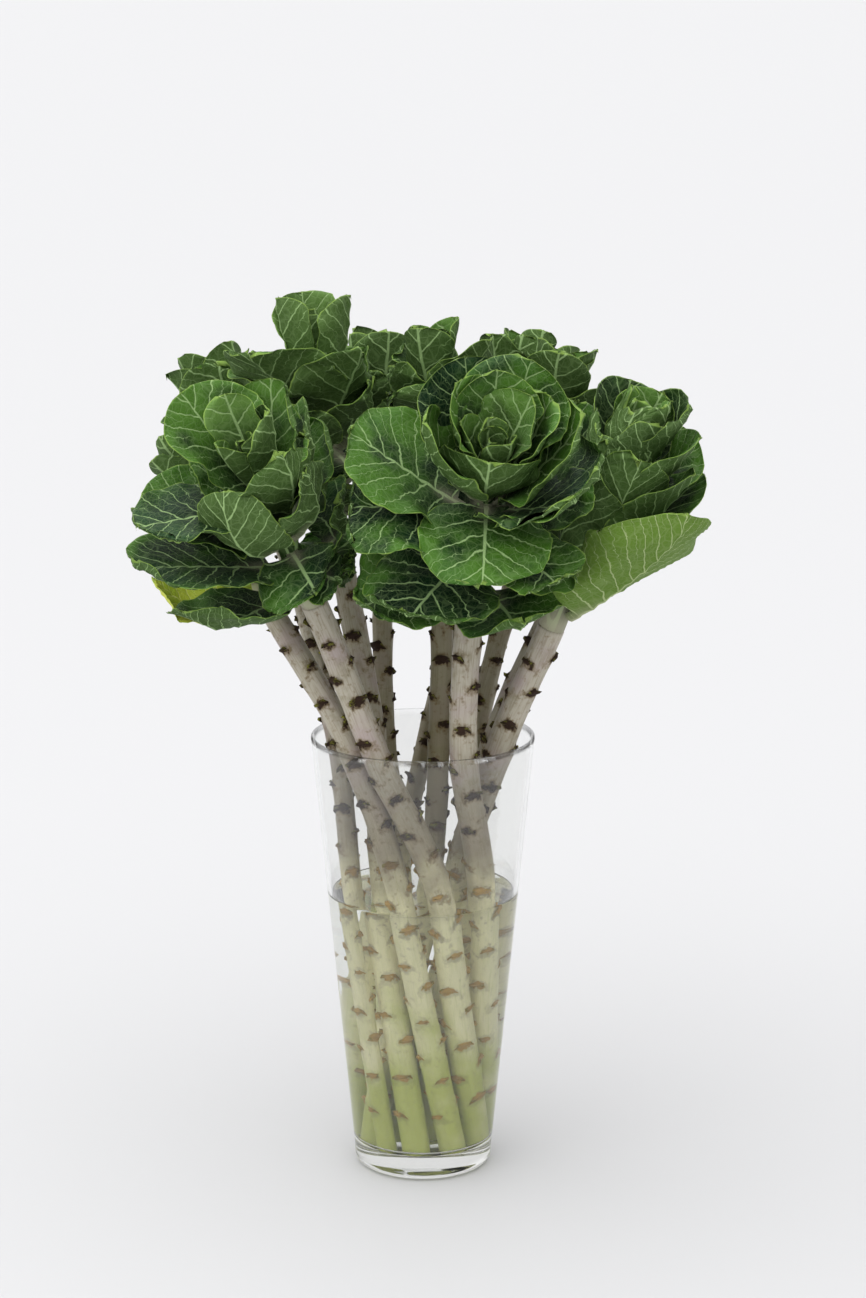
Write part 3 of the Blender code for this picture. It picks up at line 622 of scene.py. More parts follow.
@dataclass(frozen=True)
class StemFinish:
    """Bare stem skin: pale and lilac in the air, green in the water, with dark leaf scars."""

    name: str = "stem"
    pale: Colour = (0.430, 0.395, 0.320, 1.0)
    shade: Colour = (0.250, 0.215, 0.150, 1.0)
    lilac: Colour = (0.380, 0.300, 0.310, 1.0)
    olive: Colour = (0.180, 0.160, 0.075, 1.0)
    wet: Colour = (0.900, 0.860, 0.540, 1.0)
    foot: Colour = (0.540, 0.590, 0.150, 1.0)
    scar: Colour = (0.030, 0.015, 0.008, 1.0)
    wet_scar: Colour = (0.520, 0.330, 0.080, 1.0)
    tip: Colour = (0.215, 0.215, 0.035, 1.0)
    halo: Colour = (0.170, 0.120, 0.055, 1.0)
    tan: Colour = (0.230, 0.190, 0.095, 1.0)
    shine: float = 0.28
    crust_height: float = 0.0008

    def material(self) -> bpy.types.Material:
        """Builds the finish.

        Returns:
            The material.
        """
        material, graph, shader = new_material(self.name)
        place = graph.carried("place").outputs["Vector"]
        scar, tip, tone = graph.parts(graph.carried("traits").outputs["Vector"])
        position = graph.position()
        height = graph.parts(position)[2]
        stretch = graph.add("ShaderNodeMapping", {"Vector": place, "Scale": (1.0, 1.0, 0.08)})
        streak = graph.noise(stretch.outputs[0], 900.0, 3.0)
        blotch = graph.noise(position, 70.0, 3.0)
        wander = graph.math("MULTIPLY_ADD", blotch, 0.05, -0.025)
        level = graph.math("ADD", height, wander)
        # In the air: streaks, lilac and olive patches, and tan just above the water
        dry = graph.mix(graph.fade(streak, 0.42, 0.75, 0.0, 0.7), self.pale, self.shade)
        dry = graph.mix(graph.fade(graph.noise(position, 34.0), 0.48, 0.70, 0.0, 0.6), dry, self.lilac)
        dry = graph.mix(graph.fade(blotch, 0.54, 0.72, 0.0, 0.40), dry, self.olive)
        dry = graph.mix(graph.math("MULTIPLY", tone, 0.75), dry, self.olive)
        dry = graph.mix(graph.fade(level, WATER_LEVEL + 0.02, VASE_HEIGHT + 0.03, 0.70, 0.0), dry, self.tan)
        # Under the water: yellowish white, and green in patches towards the foot
        centred = graph.math("ADD", level, -0.15)
        greening = graph.math("MULTIPLY_ADD", graph.noise(position, 22.0), 0.30, centred)
        wet = graph.mix(graph.fade(greening, 0.030, 0.140), self.foot, self.wet)
        wet = graph.mix(graph.fade(streak, 0.45, 0.75, 0.0, 0.30), wet, self.foot)
        skin = graph.mix(graph.fade(level, WATER_LEVEL - 0.02, WATER_LEVEL + 0.05), wet, dry)
        mark = graph.mix(graph.fade(height, WATER_LEVEL, WATER_LEVEL + 0.06), self.wet_scar, self.scar)
        # A scar is a crust with a ragged outline and a brown halo, and its nibs have green tips
        crumb = graph.noise(position, 620.0, 3.0)
        torn = graph.math("MULTIPLY_ADD", graph.noise(position, 260.0, 4.0), 1.3, -0.65)
        uneven = graph.math("ADD", graph.math("ADD", scar, torn), -0.25)
        ragged = graph.math("MULTIPLY_ADD", crumb, 0.5, uneven)
        dryness = graph.fade(height, 0.12, WATER_LEVEL + 0.05, 0.25, 0.85)
        halo = graph.math("MULTIPLY", graph.fade(ragged, 0.05, 0.45), dryness)
        skin = graph.mix(halo, skin, self.halo)
        worn = graph.math("SUBTRACT", ragged, graph.fade(height, 0.15, WATER_LEVEL + 0.05, 0.20, 0.0))
        crust = graph.fade(worn, 0.34, 0.62)
        skin = graph.mix(crust, skin, mark)
        skin = graph.mix(graph.math("MULTIPLY", tip, graph.fade(crumb, 0.35, 0.6)), skin, self.tip)
        graph.feed(shader.inputs["Base Color"], skin)
        gloss = graph.math("MULTIPLY_ADD", streak, 0.20, 0.38)
        graph.feed(shader.inputs["Roughness"], graph.math("MULTIPLY_ADD", crust, 0.40, gloss))
        shader.inputs["Specular IOR Level"].default_value = self.shine
        rough = graph.math("MULTIPLY", graph.math("MULTIPLY", crumb, crust), 2.5)
        lumps = graph.math("MULTIPLY_ADD", streak, 0.5, rough)
        graph.feed(shader.inputs["Normal"], graph.relief(lumps, 0.5, self.crust_height))
        return material


@dataclass(frozen=True)
class ClearFinish:
    """A clear solid or liquid that lets light through to what stands in it."""

    name: str
    colour: Colour
    ior: float
    roughness: float
    shadow: float
    shine: float = 0.20
    lip_depth: tuple[float, float] = (0.0045, 0.0015)
    lip_weight: float = 0.42

    def material(self) -> bpy.types.Material:
        """Builds the finish.

        Returns:
            The material.
        """
        material, graph, shader = new_material(self.name)
        position = graph.position()
        smear = graph.noise(position, 24.0, 2.0)
        graph.feed(shader.inputs["Roughness"], graph.math("MULTIPLY", smear, self.roughness))
        shader.inputs["Base Color"].default_value = self.colour
        shader.inputs["Metallic"].default_value = 0.0
        shader.inputs["IOR"].default_value = self.ior
        shader.inputs["Transmission Weight"].default_value = 1.0
        shader.inputs["Specular IOR Level"].default_value = self.shine
        rays = graph.add("ShaderNodeLightPath")
        opaque = graph.math("MULTIPLY_ADD", rays.outputs["Is Shadow Ray"], self.shadow - 1.0, 1.0)
        # More light passes straight through the rounded lip
        low, high = (VASE_HEIGHT - depth for depth in self.lip_depth)
        thin = graph.fade(graph.parts(position)[2], low, high, 1.0, self.lip_weight)
        graph.feed(shader.inputs["Alpha"], graph.math("MULTIPLY", opaque, thin))
        return material


# Vase and water

@dataclass
class Vase:
    """The tall conical glass, turned from one profile."""

    steps: int = 144
    foot_inset: float = 0.0008
    floor_rise: float = 0.0016
    inner_rounding: float = 0.004
    punt: tuple = ((0.0, 0.0022), (0.020, 0.0018), (0.032, 0.0008), (0.037, 0.0))
    finish: ClearFinish = ClearFinish("glass", (0.935, 0.940, 0.930, 1.0), 1.50, 0.02, 0.12)

    def profile(self) -> list[tuple[float, float]]:
        """Draws the section of the glass.

        Returns:
            Radii and heights from the middle of the underside, up the outside and down the inside.
        """
        lip = WALL / 2
        rim = [
            (RIM_RADIUS - lip + lip * math.cos(a), VASE_HEIGHT - lip + lip * math.sin(a))
            for a in np.radians(np.linspace(0, 180, 9))
        ]
        edge = FOOT_RADIUS - self.foot_inset
        rounding = [
            (edge - FOOT_ROUNDING * (1 - math.cos(a)), FOOT_ROUNDING * (1 - math.sin(a)))
            for a in np.radians(np.linspace(90, 0, 8))
        ]
        hollow = FLOOR + self.floor_rise
        soft = self.inner_rounding
        bottom = [
            (inner_radius(hollow + soft) - soft * (1 - math.cos(a)), hollow + soft * (1 - math.sin(a)))
            for a in np.radians(np.linspace(0, 90, 7))
        ]
        outside = [(inner_radius(z) + WALL, z) for z in wall_heights(FLOOR, VASE_HEIGHT - lip)]
        inside = [(inner_radius(z), z) for z in wall_heights(hollow + soft, VASE_HEIGHT - lip)]
        return [*self.punt, *rounding, *outside[:-1], *rim, *inside[-2:0:-1], *bottom, (0.0, FLOOR)]

    def build(self) -> bpy.types.Object:
        """Makes the glass.

        Returns:
            The piece.
        """
        piece = turned("glass_vase", self.profile(), self.steps)
        publish(piece, self.finish.material(), "vase")
        return piece


@dataclass
class Water:
    """The water, which climbs a little where it meets the glass."""

    steps: int = 144
    climb: float = 0.0026
    into_glass: float = 0.0004
    bottom_rounding: float = 0.004
    curve: float = 2.2
    finish: ClearFinish = ClearFinish("water", (0.97, 0.985, 0.975, 1.0), 1.333, 0.0, 0.10)

    def profile(self) -> list[tuple[float, float]]:
        """Draws the section of the water.

        Returns:
            Radii and heights from the middle of the bottom to the middle of the surface.
        """
        low = FLOOR + self.into_glass
        soft = self.bottom_rounding
        heights = wall_heights(low + soft, WATER_LEVEL + self.climb)
        wall = [(inner_radius(z) + self.into_glass, z) for z in heights]
        top_radius = inner_radius(WATER_LEVEL)
        reach = self.climb * self.curve
        meniscus = [
            (top_radius - reach * share, WATER_LEVEL + self.climb * (1 - share) ** self.curve)
            for share in np.linspace(0.05, 1.0, 7)
        ]
        return [(0.0, low), (inner_radius(low) - soft, low), *wall, *meniscus, (0.0, WATER_LEVEL)]

    def build(self) -> bpy.types.Object:
        """Makes the water.

        Returns:
            The piece.
        """
        piece = turned("still_water", self.profile(), self.steps)
        publish(piece, self.finish.material(), "water")
        return piece


def wall_heights(low: float, high: float) -> list[float]:
    """Heights up a straight wall, closer together at its ends, where the shading turns."""
    near = np.array((0.0, 0.0015, 0.005, 0.012))
    return [*(low + near), *np.linspace(low + 0.03, high - 0.03, 8), *(high - near[::-1])]


def turned(name: str, profile: list, steps: int) -> bpy.types.Object:
    """Spins a profile round the vase's axis into a closed skin.

    Args:
        name: The new object's name.
        profile: Radii and heights, from the axis back to the axis.
        steps: Number of sides.

    Returns:
        The object.
    """
    bm = bmesh.new()
    verts = [bm.verts.new((radius, 0.0, z)) for radius, z in profile]
    edges = [bm.edges.new(pair) for pair in zip(verts, verts[1:])]
    bmesh.ops.spin(
        bm, geom=verts + edges, cent=(0, 0, 0), axis=(0, 0, 1), angle=math.tau, steps=steps, use_merge=True
    )
    bmesh.ops.remove_doubles(bm, verts=bm.verts, dist=0.00001)
    bmesh.ops.recalc_face_normals(bm, faces=bm.faces)
    return object_from(bm, name)


# Stems

class Stem:
    """A stem's settled place: straight from its foot to above the water, then bowing out to its neck."""

    def __init__(self, plant: Plant, foot: np.ndarray, surface: np.ndarray, rim: np.ndarray) -> None:
        """Works out the stem's route.

        Args:
            plant: The stem and head that it belongs to.
            foot: Plan point on the vase's floor.
            surface: Plan point at the water's surface.
            rim: Plan point at the rim.
        """
        self.plant = plant
        self.foot = Vector((*foot, FLOOR))
        self.surface = Vector((*surface, WATER_LEVEL))
        self.rim = Vector((*rim, VASE_HEIGHT))
        self.neck = Vector(plant.neck)
        self.crown = Vector(plant.crown)
        self.axis = (self.crown - self.neck).normalized()
        pulls = ((self.surface - self.foot).normalized(), (self.neck - self.surface).normalized(), self.axis)
        self.route = ((self.surface, pulls[0], self.rim, pulls[1]), (self.rim, pulls[1], self.neck, pulls[2]))
        self.line = [self.foot] + self.bowed(6)

    def bowed(self, steps: int) -> list[Vector]:
        """Points from the water's surface to the neck.

        Args:
            steps: How many on each side of the rim.

        Returns:
            The points.
        """
        points = [self.surface]
        for start, start_pull, end, end_pull in self.route:
            reach = (end - start).length
            for step in range(1, steps + 1):
                share = step / steps
                s2, s3 = share ** 2, share ** 3
                points.append(
                    start * (2 * s3 - 3 * s2 + 1) + start_pull * reach * (s3 - 2 * s2 + share)
                    + end * (3 * s2 - 2 * s3) + end_pull * reach * (s3 - s2)
                )
        return points

    def gap(self, point: Vector) -> float:
        """How far a point is from the stem's surface."""
        line = [np.array(place) for place in self.line]
        return float(distance_to_line(np.array(point), line)) - self.plant.radius

    def centre_line(self, spacing: float) -> tuple[np.ndarray, np.ndarray, np.ndarray]:
        """The stem's middle line at even steps.

        Args:
            spacing: Distance between points.

        Returns:
            Lengths from the foot, points and directions.
        """
        below = self.foot + (self.foot - self.surface).normalized() * FOOT_OVERRUN
        rough = np.array([below, self.foot] + self.bowed(24))
        lengths = np.concatenate(([0.0], np.cumsum(np.linalg.norm(np.diff(rough, axis=0), axis=1))))
        places = np.linspace(0.0, lengths[-1], round(lengths[-1] / spacing) + 1)
        points = np.array([np.interp(places, lengths, rough[:, k]) for k in range(3)]).T
        ways = np.gradient(points, axis=0)
        ways /= np.linalg.norm(ways, axis=1)[:, None]
        return places - FOOT_OVERRUN, points, ways


def settle_stems() -> list[Stem]:
    """Moves the stems apart until no two touch, and keeps them inside the glass.

    Returns:
        The stems in their settled places.
    """
    levels = np.array((FLOOR, WATER_LEVEL, VASE_HEIGHT))
    places = np.array([(plant.foot, plant.surface, plant.rim) for plant in PLANTS])
    radii = np.array([plant.radius for plant in PLANTS])
    need = (radii[:, None] + radii[None, :] + STEM_CLEARANCE) * TILT_ALLOWANCE
    limits = np.array([inner_radius(level) - radii - WALL_CLEARANCE for level in levels]).T
    heights = np.linspace(FLOOR, VASE_HEIGHT, SETTLING_HEIGHTS)
    weights = np.array([np.interp(heights, levels, np.eye(3)[k]) for k in range(3)]).T
    for _ in range(SETTLING_ROUNDS):
        for weight in weights:
            spots = weight @ places
            for i in range(len(PLANTS)):
                for j in range(i):
                    apart = spots[i] - spots[j]
                    distance = float(np.hypot(*apart)) + 1e-9
                    if distance < need[i, j]:
                        push = apart / distance * (need[i, j] - distance) * SETTLING_PUSH
                        places[i] += weight[:, None] * push
                        places[j] -= weight[:, None] * push
        length = np.linalg.norm(places, axis=2)
        places *= np.minimum(1.0, limits / length)[:, :, None]
    return [Stem(plant, *place) for plant, place in zip(PLANTS, places)]


@dataclass(frozen=True)
class Scar:
    """The mark that one fallen leaf left on a stem."""

    length: float
    turn: float
    size: float


@dataclass
class StemPiece:
    """A bare stem: ridged skin with a swelling under each leaf scar, and the ragged scars on it."""

    stem: Stem
    others: list[Stem]
    tone: float
    sides: int = 32
    ring_gap: float = 0.0020
    swelling: float = 0.0013
    ridge_depth: float = 0.00022
    scar_width: float = 0.0050
    scar_height: float = 0.0019
    swell_turn: float = 0.55
    swell_narrowing: float = 0.30
    swell_length: float = 0.022
    swell_fall: float = 0.009
    swell_top: float = 0.0016
    mark_depth: float = 0.85
    mark_drop: float = 0.0010
    mark_bow: float = 0.0024
    mark_height: float = 0.0036
    mark_turn: float = 0.75
    shelf_rise: float = 0.0021
    nib_place: float = 0.8
    nib_spread: float = 0.25
    nib_rise: float = 0.0018
    nib_lift: float = 0.0016
    rng: random.Random = field(init=False)

    def __post_init__(self) -> None:
        """Seeds the stem's own draw and samples its middle line."""
        plant = self.stem.plant
        self.rng = random.Random("stem_" + plant.name)
        self.lengths, self.points, self.ways = self.stem.centre_line(self.ring_gap)
        level = np.cross(self.ways, (0.0, 1.0, 0.0))
        self.side = level / np.linalg.norm(level, axis=1)[:, None]
        self.over = np.cross(self.ways, self.side)
        self.radii = plant.radius * np.interp(self.lengths, (0, self.lengths[-1]), (1.0, STEM_TAPER))

    def at(self, length: float) -> tuple[Vector, Vector, Vector, Vector, float]:
        """Reads the stem at a length.

        Args:
            length: Distance from the foot.

        Returns:
            The middle point, the directions along, beside and over the stem, and the radius.
        """
        rows = [
            Vector([float(np.interp(length, self.lengths, values[:, k])) for k in range(3)])
            for values in (self.points, self.ways, self.side, self.over)
        ]
        return (*rows, float(np.interp(length, self.lengths, self.radii)))

    def scars(self) -> list[Scar]:
        """Sets the scars in a spiral.

        Returns:
            The scars, without those that would meet the glass or another stem.
        """
        found = []
        turn = math.radians(self.stem.plant.first_turn)
        length = SCAR_START
        while length < self.lengths[-1] - NECK_BARE:
            place, _, side, over, radius = self.at(length)
            out = side * math.cos(turn) + over * math.sin(turn)
            tip = place + out * (radius + SCAR_OUT)
            in_glass = inner_radius(tip.z) - math.hypot(tip.x, tip.y) > SCAR_CLEARANCE
            clear = in_glass or tip.z > VASE_HEIGHT + SCAR_ABOVE_RIM
            if clear and min(other.gap(tip) for other in self.others) > SCAR_CLEARANCE:
                found.append(Scar(length, turn, self.rng.uniform(0.75, 1.2)))
            turn += GOLDEN_TURN + self.rng.uniform(-0.10, 0.10)
            length += SCAR_STEP * self.rng.uniform(0.9, 1.1)
        return found

    def skin(self, scars: list[Scar]) -> bpy.types.Object:
        """The stem's own skin.

        Args:
            scars: The scars that it swells under.

        Returns:
            The skin with its attributes.
        """
        rings = len(self.lengths)
        bm = bmesh.new()
        layers = point_layers(bm)
        bmesh.ops.create_grid(bm, x_segments=self.sides, y_segments=rings - 1, size=1.0)
        verts = list(bm.verts)
        turn = np.array([vert.co.x for vert in verts]) * math.pi
        ring = np.rint((np.array([vert.co.y for vert in verts]) + 1) / 2 * (rings - 1)).astype(int)
        length = self.lengths[ring]
        swell = np.zeros(len(verts))
        mark = np.zeros(len(verts))
        for scar in scars:
            below = scar.length - length
            apart = np.abs((turn - scar.turn + math.pi) % math.tau - math.pi)
            width = self.swell_turn - self.swell_narrowing * np.clip(below / self.swell_length, 0, 1)
            above = np.exp(-(below / self.swell_top) ** 2)
            fall = np.where(below >= 0, np.exp(-below / self.swell_fall), above)
            swell += scar.size * fall * np.exp(-(apart / width) ** 2)
            bow = below - self.mark_bow * (apart / 0.7) ** 2 - self.mark_drop
            ring_mark = self.mark_depth * np.exp(-(bow / self.mark_height) ** 2)
            ring_mark = ring_mark * np.exp(-(apart / self.mark_turn) ** 2)
            mark = np.maximum(mark, ring_mark * scar.size)
        ridges = np.sin(turn * 8 + 9 * length / 0.1) * 0.6 + np.sin(turn * 13 - 5 * length / 0.1) * 0.4
        radius = self.radii[ring] + self.swelling * np.minimum(swell, 1.3) + self.ridge_depth * ridges
        out = self.side[ring] * np.cos(turn)[:, None] + self.over[ring] * np.sin(turn)[:, None]
        places = self.points[ring] + out * radius[:, None]
        places[:, 2] = np.maximum(places[:, 2], FLOOR + GAP)
        for vert, place in zip(verts, places):
            vert.co = place
        around = np.stack((np.cos(turn) * 0.01, np.sin(turn) * 0.01, length), axis=1)
        traits = np.stack((mark, np.zeros(len(verts)), np.full(len(verts), self.tone)), axis=1)
        for layer, values in zip(layers, (around, traits)):
            for vert, value in zip(verts, values):
                vert[layer] = value
        close_tube(bm)
        return object_from(bm, "stem_" + self.stem.plant.name + "_skin")

    def scab(self, scar: Scar, bm: bmesh.types.BMesh) -> None:
        """Adds one ragged scar: a brown shelf across the stem with a green nib at each end.

        Args:
            scar: Where it goes.
            bm: The mesh that takes it.
        """
        place, along, side, over, radius = self.at(scar.length)
        layers = bm.verts.layers.float_vector
        half_turn = self.scar_width * scar.size / radius
        for vert in bmesh.ops.create_icosphere(bm, subdivisions=2, radius=1.0)["verts"]:
            x, y, z = vert.co * self.rng.uniform(0.55, 1.40)
            turn = scar.turn + x * half_turn
            out = side * math.cos(turn) + over * math.sin(turn)
            nib = math.exp(-((abs(x) - self.nib_place) / self.nib_spread) ** 2)
            rise = radius + z * (self.shelf_rise + self.nib_rise * nib) * scar.size + GAP
            drop = self.scar_height * scar.size * (y - 0.9 * x * x) + self.nib_lift * nib * (z > 0)
            vert.co = place + out * rise + along * drop
            green = 1.0 if nib > 0.45 and z > 0.1 else 0.0
            vert[layers["place"]] = (x * 0.01, y * 0.01, scar.length)
            vert[layers["traits"]] = (1.0, green, self.tone)

    def build(self, material: bpy.types.Material) -> bpy.types.Object:
        """Makes the stem.

        Args:
            material: The stems' shared finish.

        Returns:
            The piece.
        """
        scars = self.scars()
        skin = self.skin(scars)
        bm = bmesh.new()
        point_layers(bm)
        for scar in scars:
            self.scab(scar, bm)
        bmesh.ops.recalc_face_normals(bm, faces=bm.faces)
        piece = join(skin, [object_from(bm, "scabs")], "bare_" + skin.name.removesuffix("_skin"))
        publish(piece, material, "stem_" + self.stem.plant.name)
        return piece


def join(first: bpy.types.Object, others: list[bpy.types.Object], name: str) -> bpy.types.Object:
    """Puts several objects' meshes in one.

    Args:
        first: The object that takes them in.
        others: The objects that go into it.
        name: The new name.

    Returns:
        The one object.
    """
    with bpy.context.temp_override(
        active_object=first, object=first, selected_editable_objects=[first, *others],
        selected_objects=[first, *others],
    ):
        bpy.ops.object.join()
    first.name = name
    first.data.name = name
    return first


# Heads

def spline_weights(knots: int, places: np.ndarray) -> np.ndarray:
    """Weights that pass a smooth curve through values at even knots.

    Args:
        knots: Number of knots, from 0 to 1.
        places: Where the curve is read, from 0 to 1.

    Returns:
        One row of weights for each place.
    """
    spot = np.clip(places, 0, 1) * (knots - 1)
    left = np.minimum(spot.astype(int), knots - 2)
    t = spot - left
    weights = np.zeros((len(places), knots))
    factors = (
        -0.5 * t + t ** 2 - 0.5 * t ** 3, 1 - 2.5 * t ** 2 + 1.5 * t ** 3,
        0.5 * t + 2 * t ** 2 - 1.5 * t ** 3, -0.5 * t ** 2 + 0.5 * t ** 3,
    )
    rows = np.arange(len(places))
    for offset, factor in zip((-1, 0, 1, 2), factors):
        np.add.at(weights, (rows, np.clip(left + offset, 0, knots - 1)), factor)
    return weights


@dataclass
class Head:
    """A head's axis, leaves and own space among its neighbours."""

    stems: list[Stem]
    own: int

    def __post_init__(self) -> None:
        """Works out the directions that leaves turn about the axis."""
        self.stem = self.stems[self.own]
        self.plant = self.stem.plant
        self.neck, self.crown, self.centre = (
            np.array(place) for place in (self.plant.neck, self.plant.crown, self.plant.centre)
        )
        self.span = float(np.linalg.norm(self.crown - self.neck))
        self.axis = (self.crown - self.neck) / self.span
        right = np.array((1.0, 0.0, 0.0))
        right -= self.axis * right.dot(self.axis)
        self.right = right / np.linalg.norm(right)
        self.back = np.cross(self.axis, self.right)

    def leaves(self) -> list[Leaf]:
        """Lists the head's leaves: those written out for it, and then a spiral.

        Returns:
            The leaves, from the outside in.
        """
        plant = self.plant
        draw = random.Random(plant.name)
        rows = FRONT_LEAVES.get(plant.name, ())
        made = []
        for rise, turn, root, tip, *sizes in rows:
            made.append(Leaf(rise, math.radians(turn), math.radians(root), math.radians(tip), *sizes))
        turn = math.radians(plant.first_turn)
        for index in range(len(made), plant.leaves):
            share = index / (plant.leaves - 1)
            turn += GOLDEN_TURN + draw.uniform(-0.12, 0.12)
            length = min(plant.reach, LONGEST_INNER) * (1.28 - 0.60 * share) * draw.uniform(0.94, 1.06)
            made.append(Leaf(
                rise=0.12 + 0.88 * share ** 0.7,
                turn=turn,
                root_lean=math.radians(72 - 44 * share),
                tip_lean=math.radians(94 - 88 * share + draw.uniform(-6, 6)),
                length=length,
                width=length * (1.02 - 0.08 * share),
                petiole=0.28 - 0.16 * share,
                cup=0.60 + 0.30 * share,
                tone=share ** 2 * 0.45,
            ))
        return made

    def heart_leaves(self) -> list[Leaf]:
        """Lists the small young leaves in the middle of the head.

        Returns:
            The leaves, from the outside in.
        """
        draw = random.Random(self.plant.name + "_heart")
        made = []
        turn = draw.uniform(0, math.tau)
        for index in range(HEART_LEAVES):
            share = index / (HEART_LEAVES - 1)
            turn += GOLDEN_TURN
            length = 0.052 - 0.022 * share
            made.append(Leaf(
                rise=1.0 + 0.04 * share,
                turn=turn,
                root_lean=math.radians(34 - 14 * share),
                tip_lean=math.radians(12 - 40 * share),
                length=length,
                width=length * 0.85,
                petiole=0.10,
                cup=1.0,
                tone=0.55 + 0.25 * share,
            ))
        return made

    def surface(self, leaf: Leaf, across: np.ndarray, blade: np.ndarray) -> np.ndarray:
        """Points of a leaf's middle surface.

        The leaf wraps round the head's axis, so that inner leaves nest in outer ones.

        Args:
            leaf: The leaf.
            across: Places from -1 to 1 across it.
            blade: Places along it: -1 is the root of the leafstalk, 0 the blade's start and 1 its tip.

        Returns:
            One point for each place.
        """
        along = np.where(blade < 0, (blade + 1) * leaf.petiole, leaf.petiole + blade * (1 - leaf.petiole))
        share = np.linspace(0.0, 1.0, RIB_STEPS + 1)
        lean = leaf.root_lean + (leaf.tip_lean - leaf.root_lean) * share ** 1.2
        step = leaf.length / RIB_STEPS
        out = np.concatenate(([0.0], np.cumsum(np.sin(lean[1:]) * step)))
        up = np.concatenate(([0.0], np.cumsum(np.cos(lean[1:]) * step))) + leaf.rise * self.span
        out, up = (np.interp(along, share, values) for values in (out, up))
        half = self.half_width(leaf, blade)
        offset = half * across
        wrap = np.clip(offset / np.maximum(out, 0.55 * half), -WIDEST_WRAP, WIDEST_WRAP) * leaf.cup
        flat = offset * (1 - leaf.cup)
        turn = leaf.turn + wrap
        outward = self.right * np.cos(turn)[..., None] + self.back * np.sin(turn)[..., None]
        side = self.back * np.cos(turn)[..., None] - self.right * np.sin(turn)[..., None]
        return self.neck + self.axis * up[..., None] + outward * out[..., None] + side * flat[..., None]

    @staticmethod
    def half_width(leaf: Leaf, blade: np.ndarray) -> np.ndarray:
        """Half width of a leaf at places along its blade: a rounded form, widest past the middle."""
        rounded = (1 - np.abs(2 * np.clip(blade, 0, 1) ** 1.15 - 1) ** 2.2) ** (1 / 2.2)
        return np.maximum(rounded * leaf.width / 2, STALK_HALF_WIDTH * (1 - 0.75 * np.clip(blade, 0, 1)))

    def roots(self, points: np.ndarray) -> np.ndarray:
        """Finds the nearest points of the head's axis.

        Args:
            points: Points of a leaf.

        Returns:
            One point of the axis for each.
        """
        span = self.crown - self.neck
        share = np.clip(((points - self.neck) @ span) / (span @ span), 0, 1)
        return self.neck + share[..., None] * span

    def pressed(self, points: np.ndarray, layer: float) -> np.ndarray:
        """Pulls points in towards the axis, inside the head's reach and clear of other heads and stems.

        Args:
            points: Points of a leaf.
            layer: The leaf's place in the order from the lowest.

        Returns:
            The moved points.
        """
        inset = LAYER_STEP * layer
        way = points - self.centre
        length = np.linalg.norm(way, axis=-1)
        limit = self.plant.reach - inset * 0.5
        far = np.linalg.norm(points - self.roots(points), axis=-1) > OWN_ZONE
        outside = (length > limit) & far
        points = np.where(outside[:, None], self.centre + way * (limit / length)[:, None], points)
        roots = self.roots(points)
        way = points - roots
        steps = np.linspace(0, 1, PRESS_STEPS + 1)
        spots = roots[:, None, :] + way[:, None, :] * steps[None, :, None]
        own_power = np.linalg.norm(spots - self.centre, axis=-1) - self.plant.reach
        allowed = np.ones(spots.shape[:2], bool)
        for other in self.stems[:self.own] + self.stems[self.own + 1:]:
            power = np.linalg.norm(spots - np.array(other.plant.centre), axis=-1) - other.plant.reach
            allowed &= own_power < power - NEIGHBOUR_GAP - 2 * inset
            bare = [np.array(place) for place in other.line]
            allowed &= distance_to_line(spots, bare) > other.plant.radius + BARE_STEM_GAP + inset
            leafy = [np.array(other.neck), np.array(other.crown)]
            allowed &= distance_to_line(spots, leafy) > OWN_ZONE + 0.002
        allowed |= np.linalg.norm(way, axis=-1)[:, None] * steps[None, :] < OWN_ZONE
        reached = np.minimum.accumulate(allowed, axis=1).sum(axis=1) - 1
        return roots + way * steps[reached][:, None]


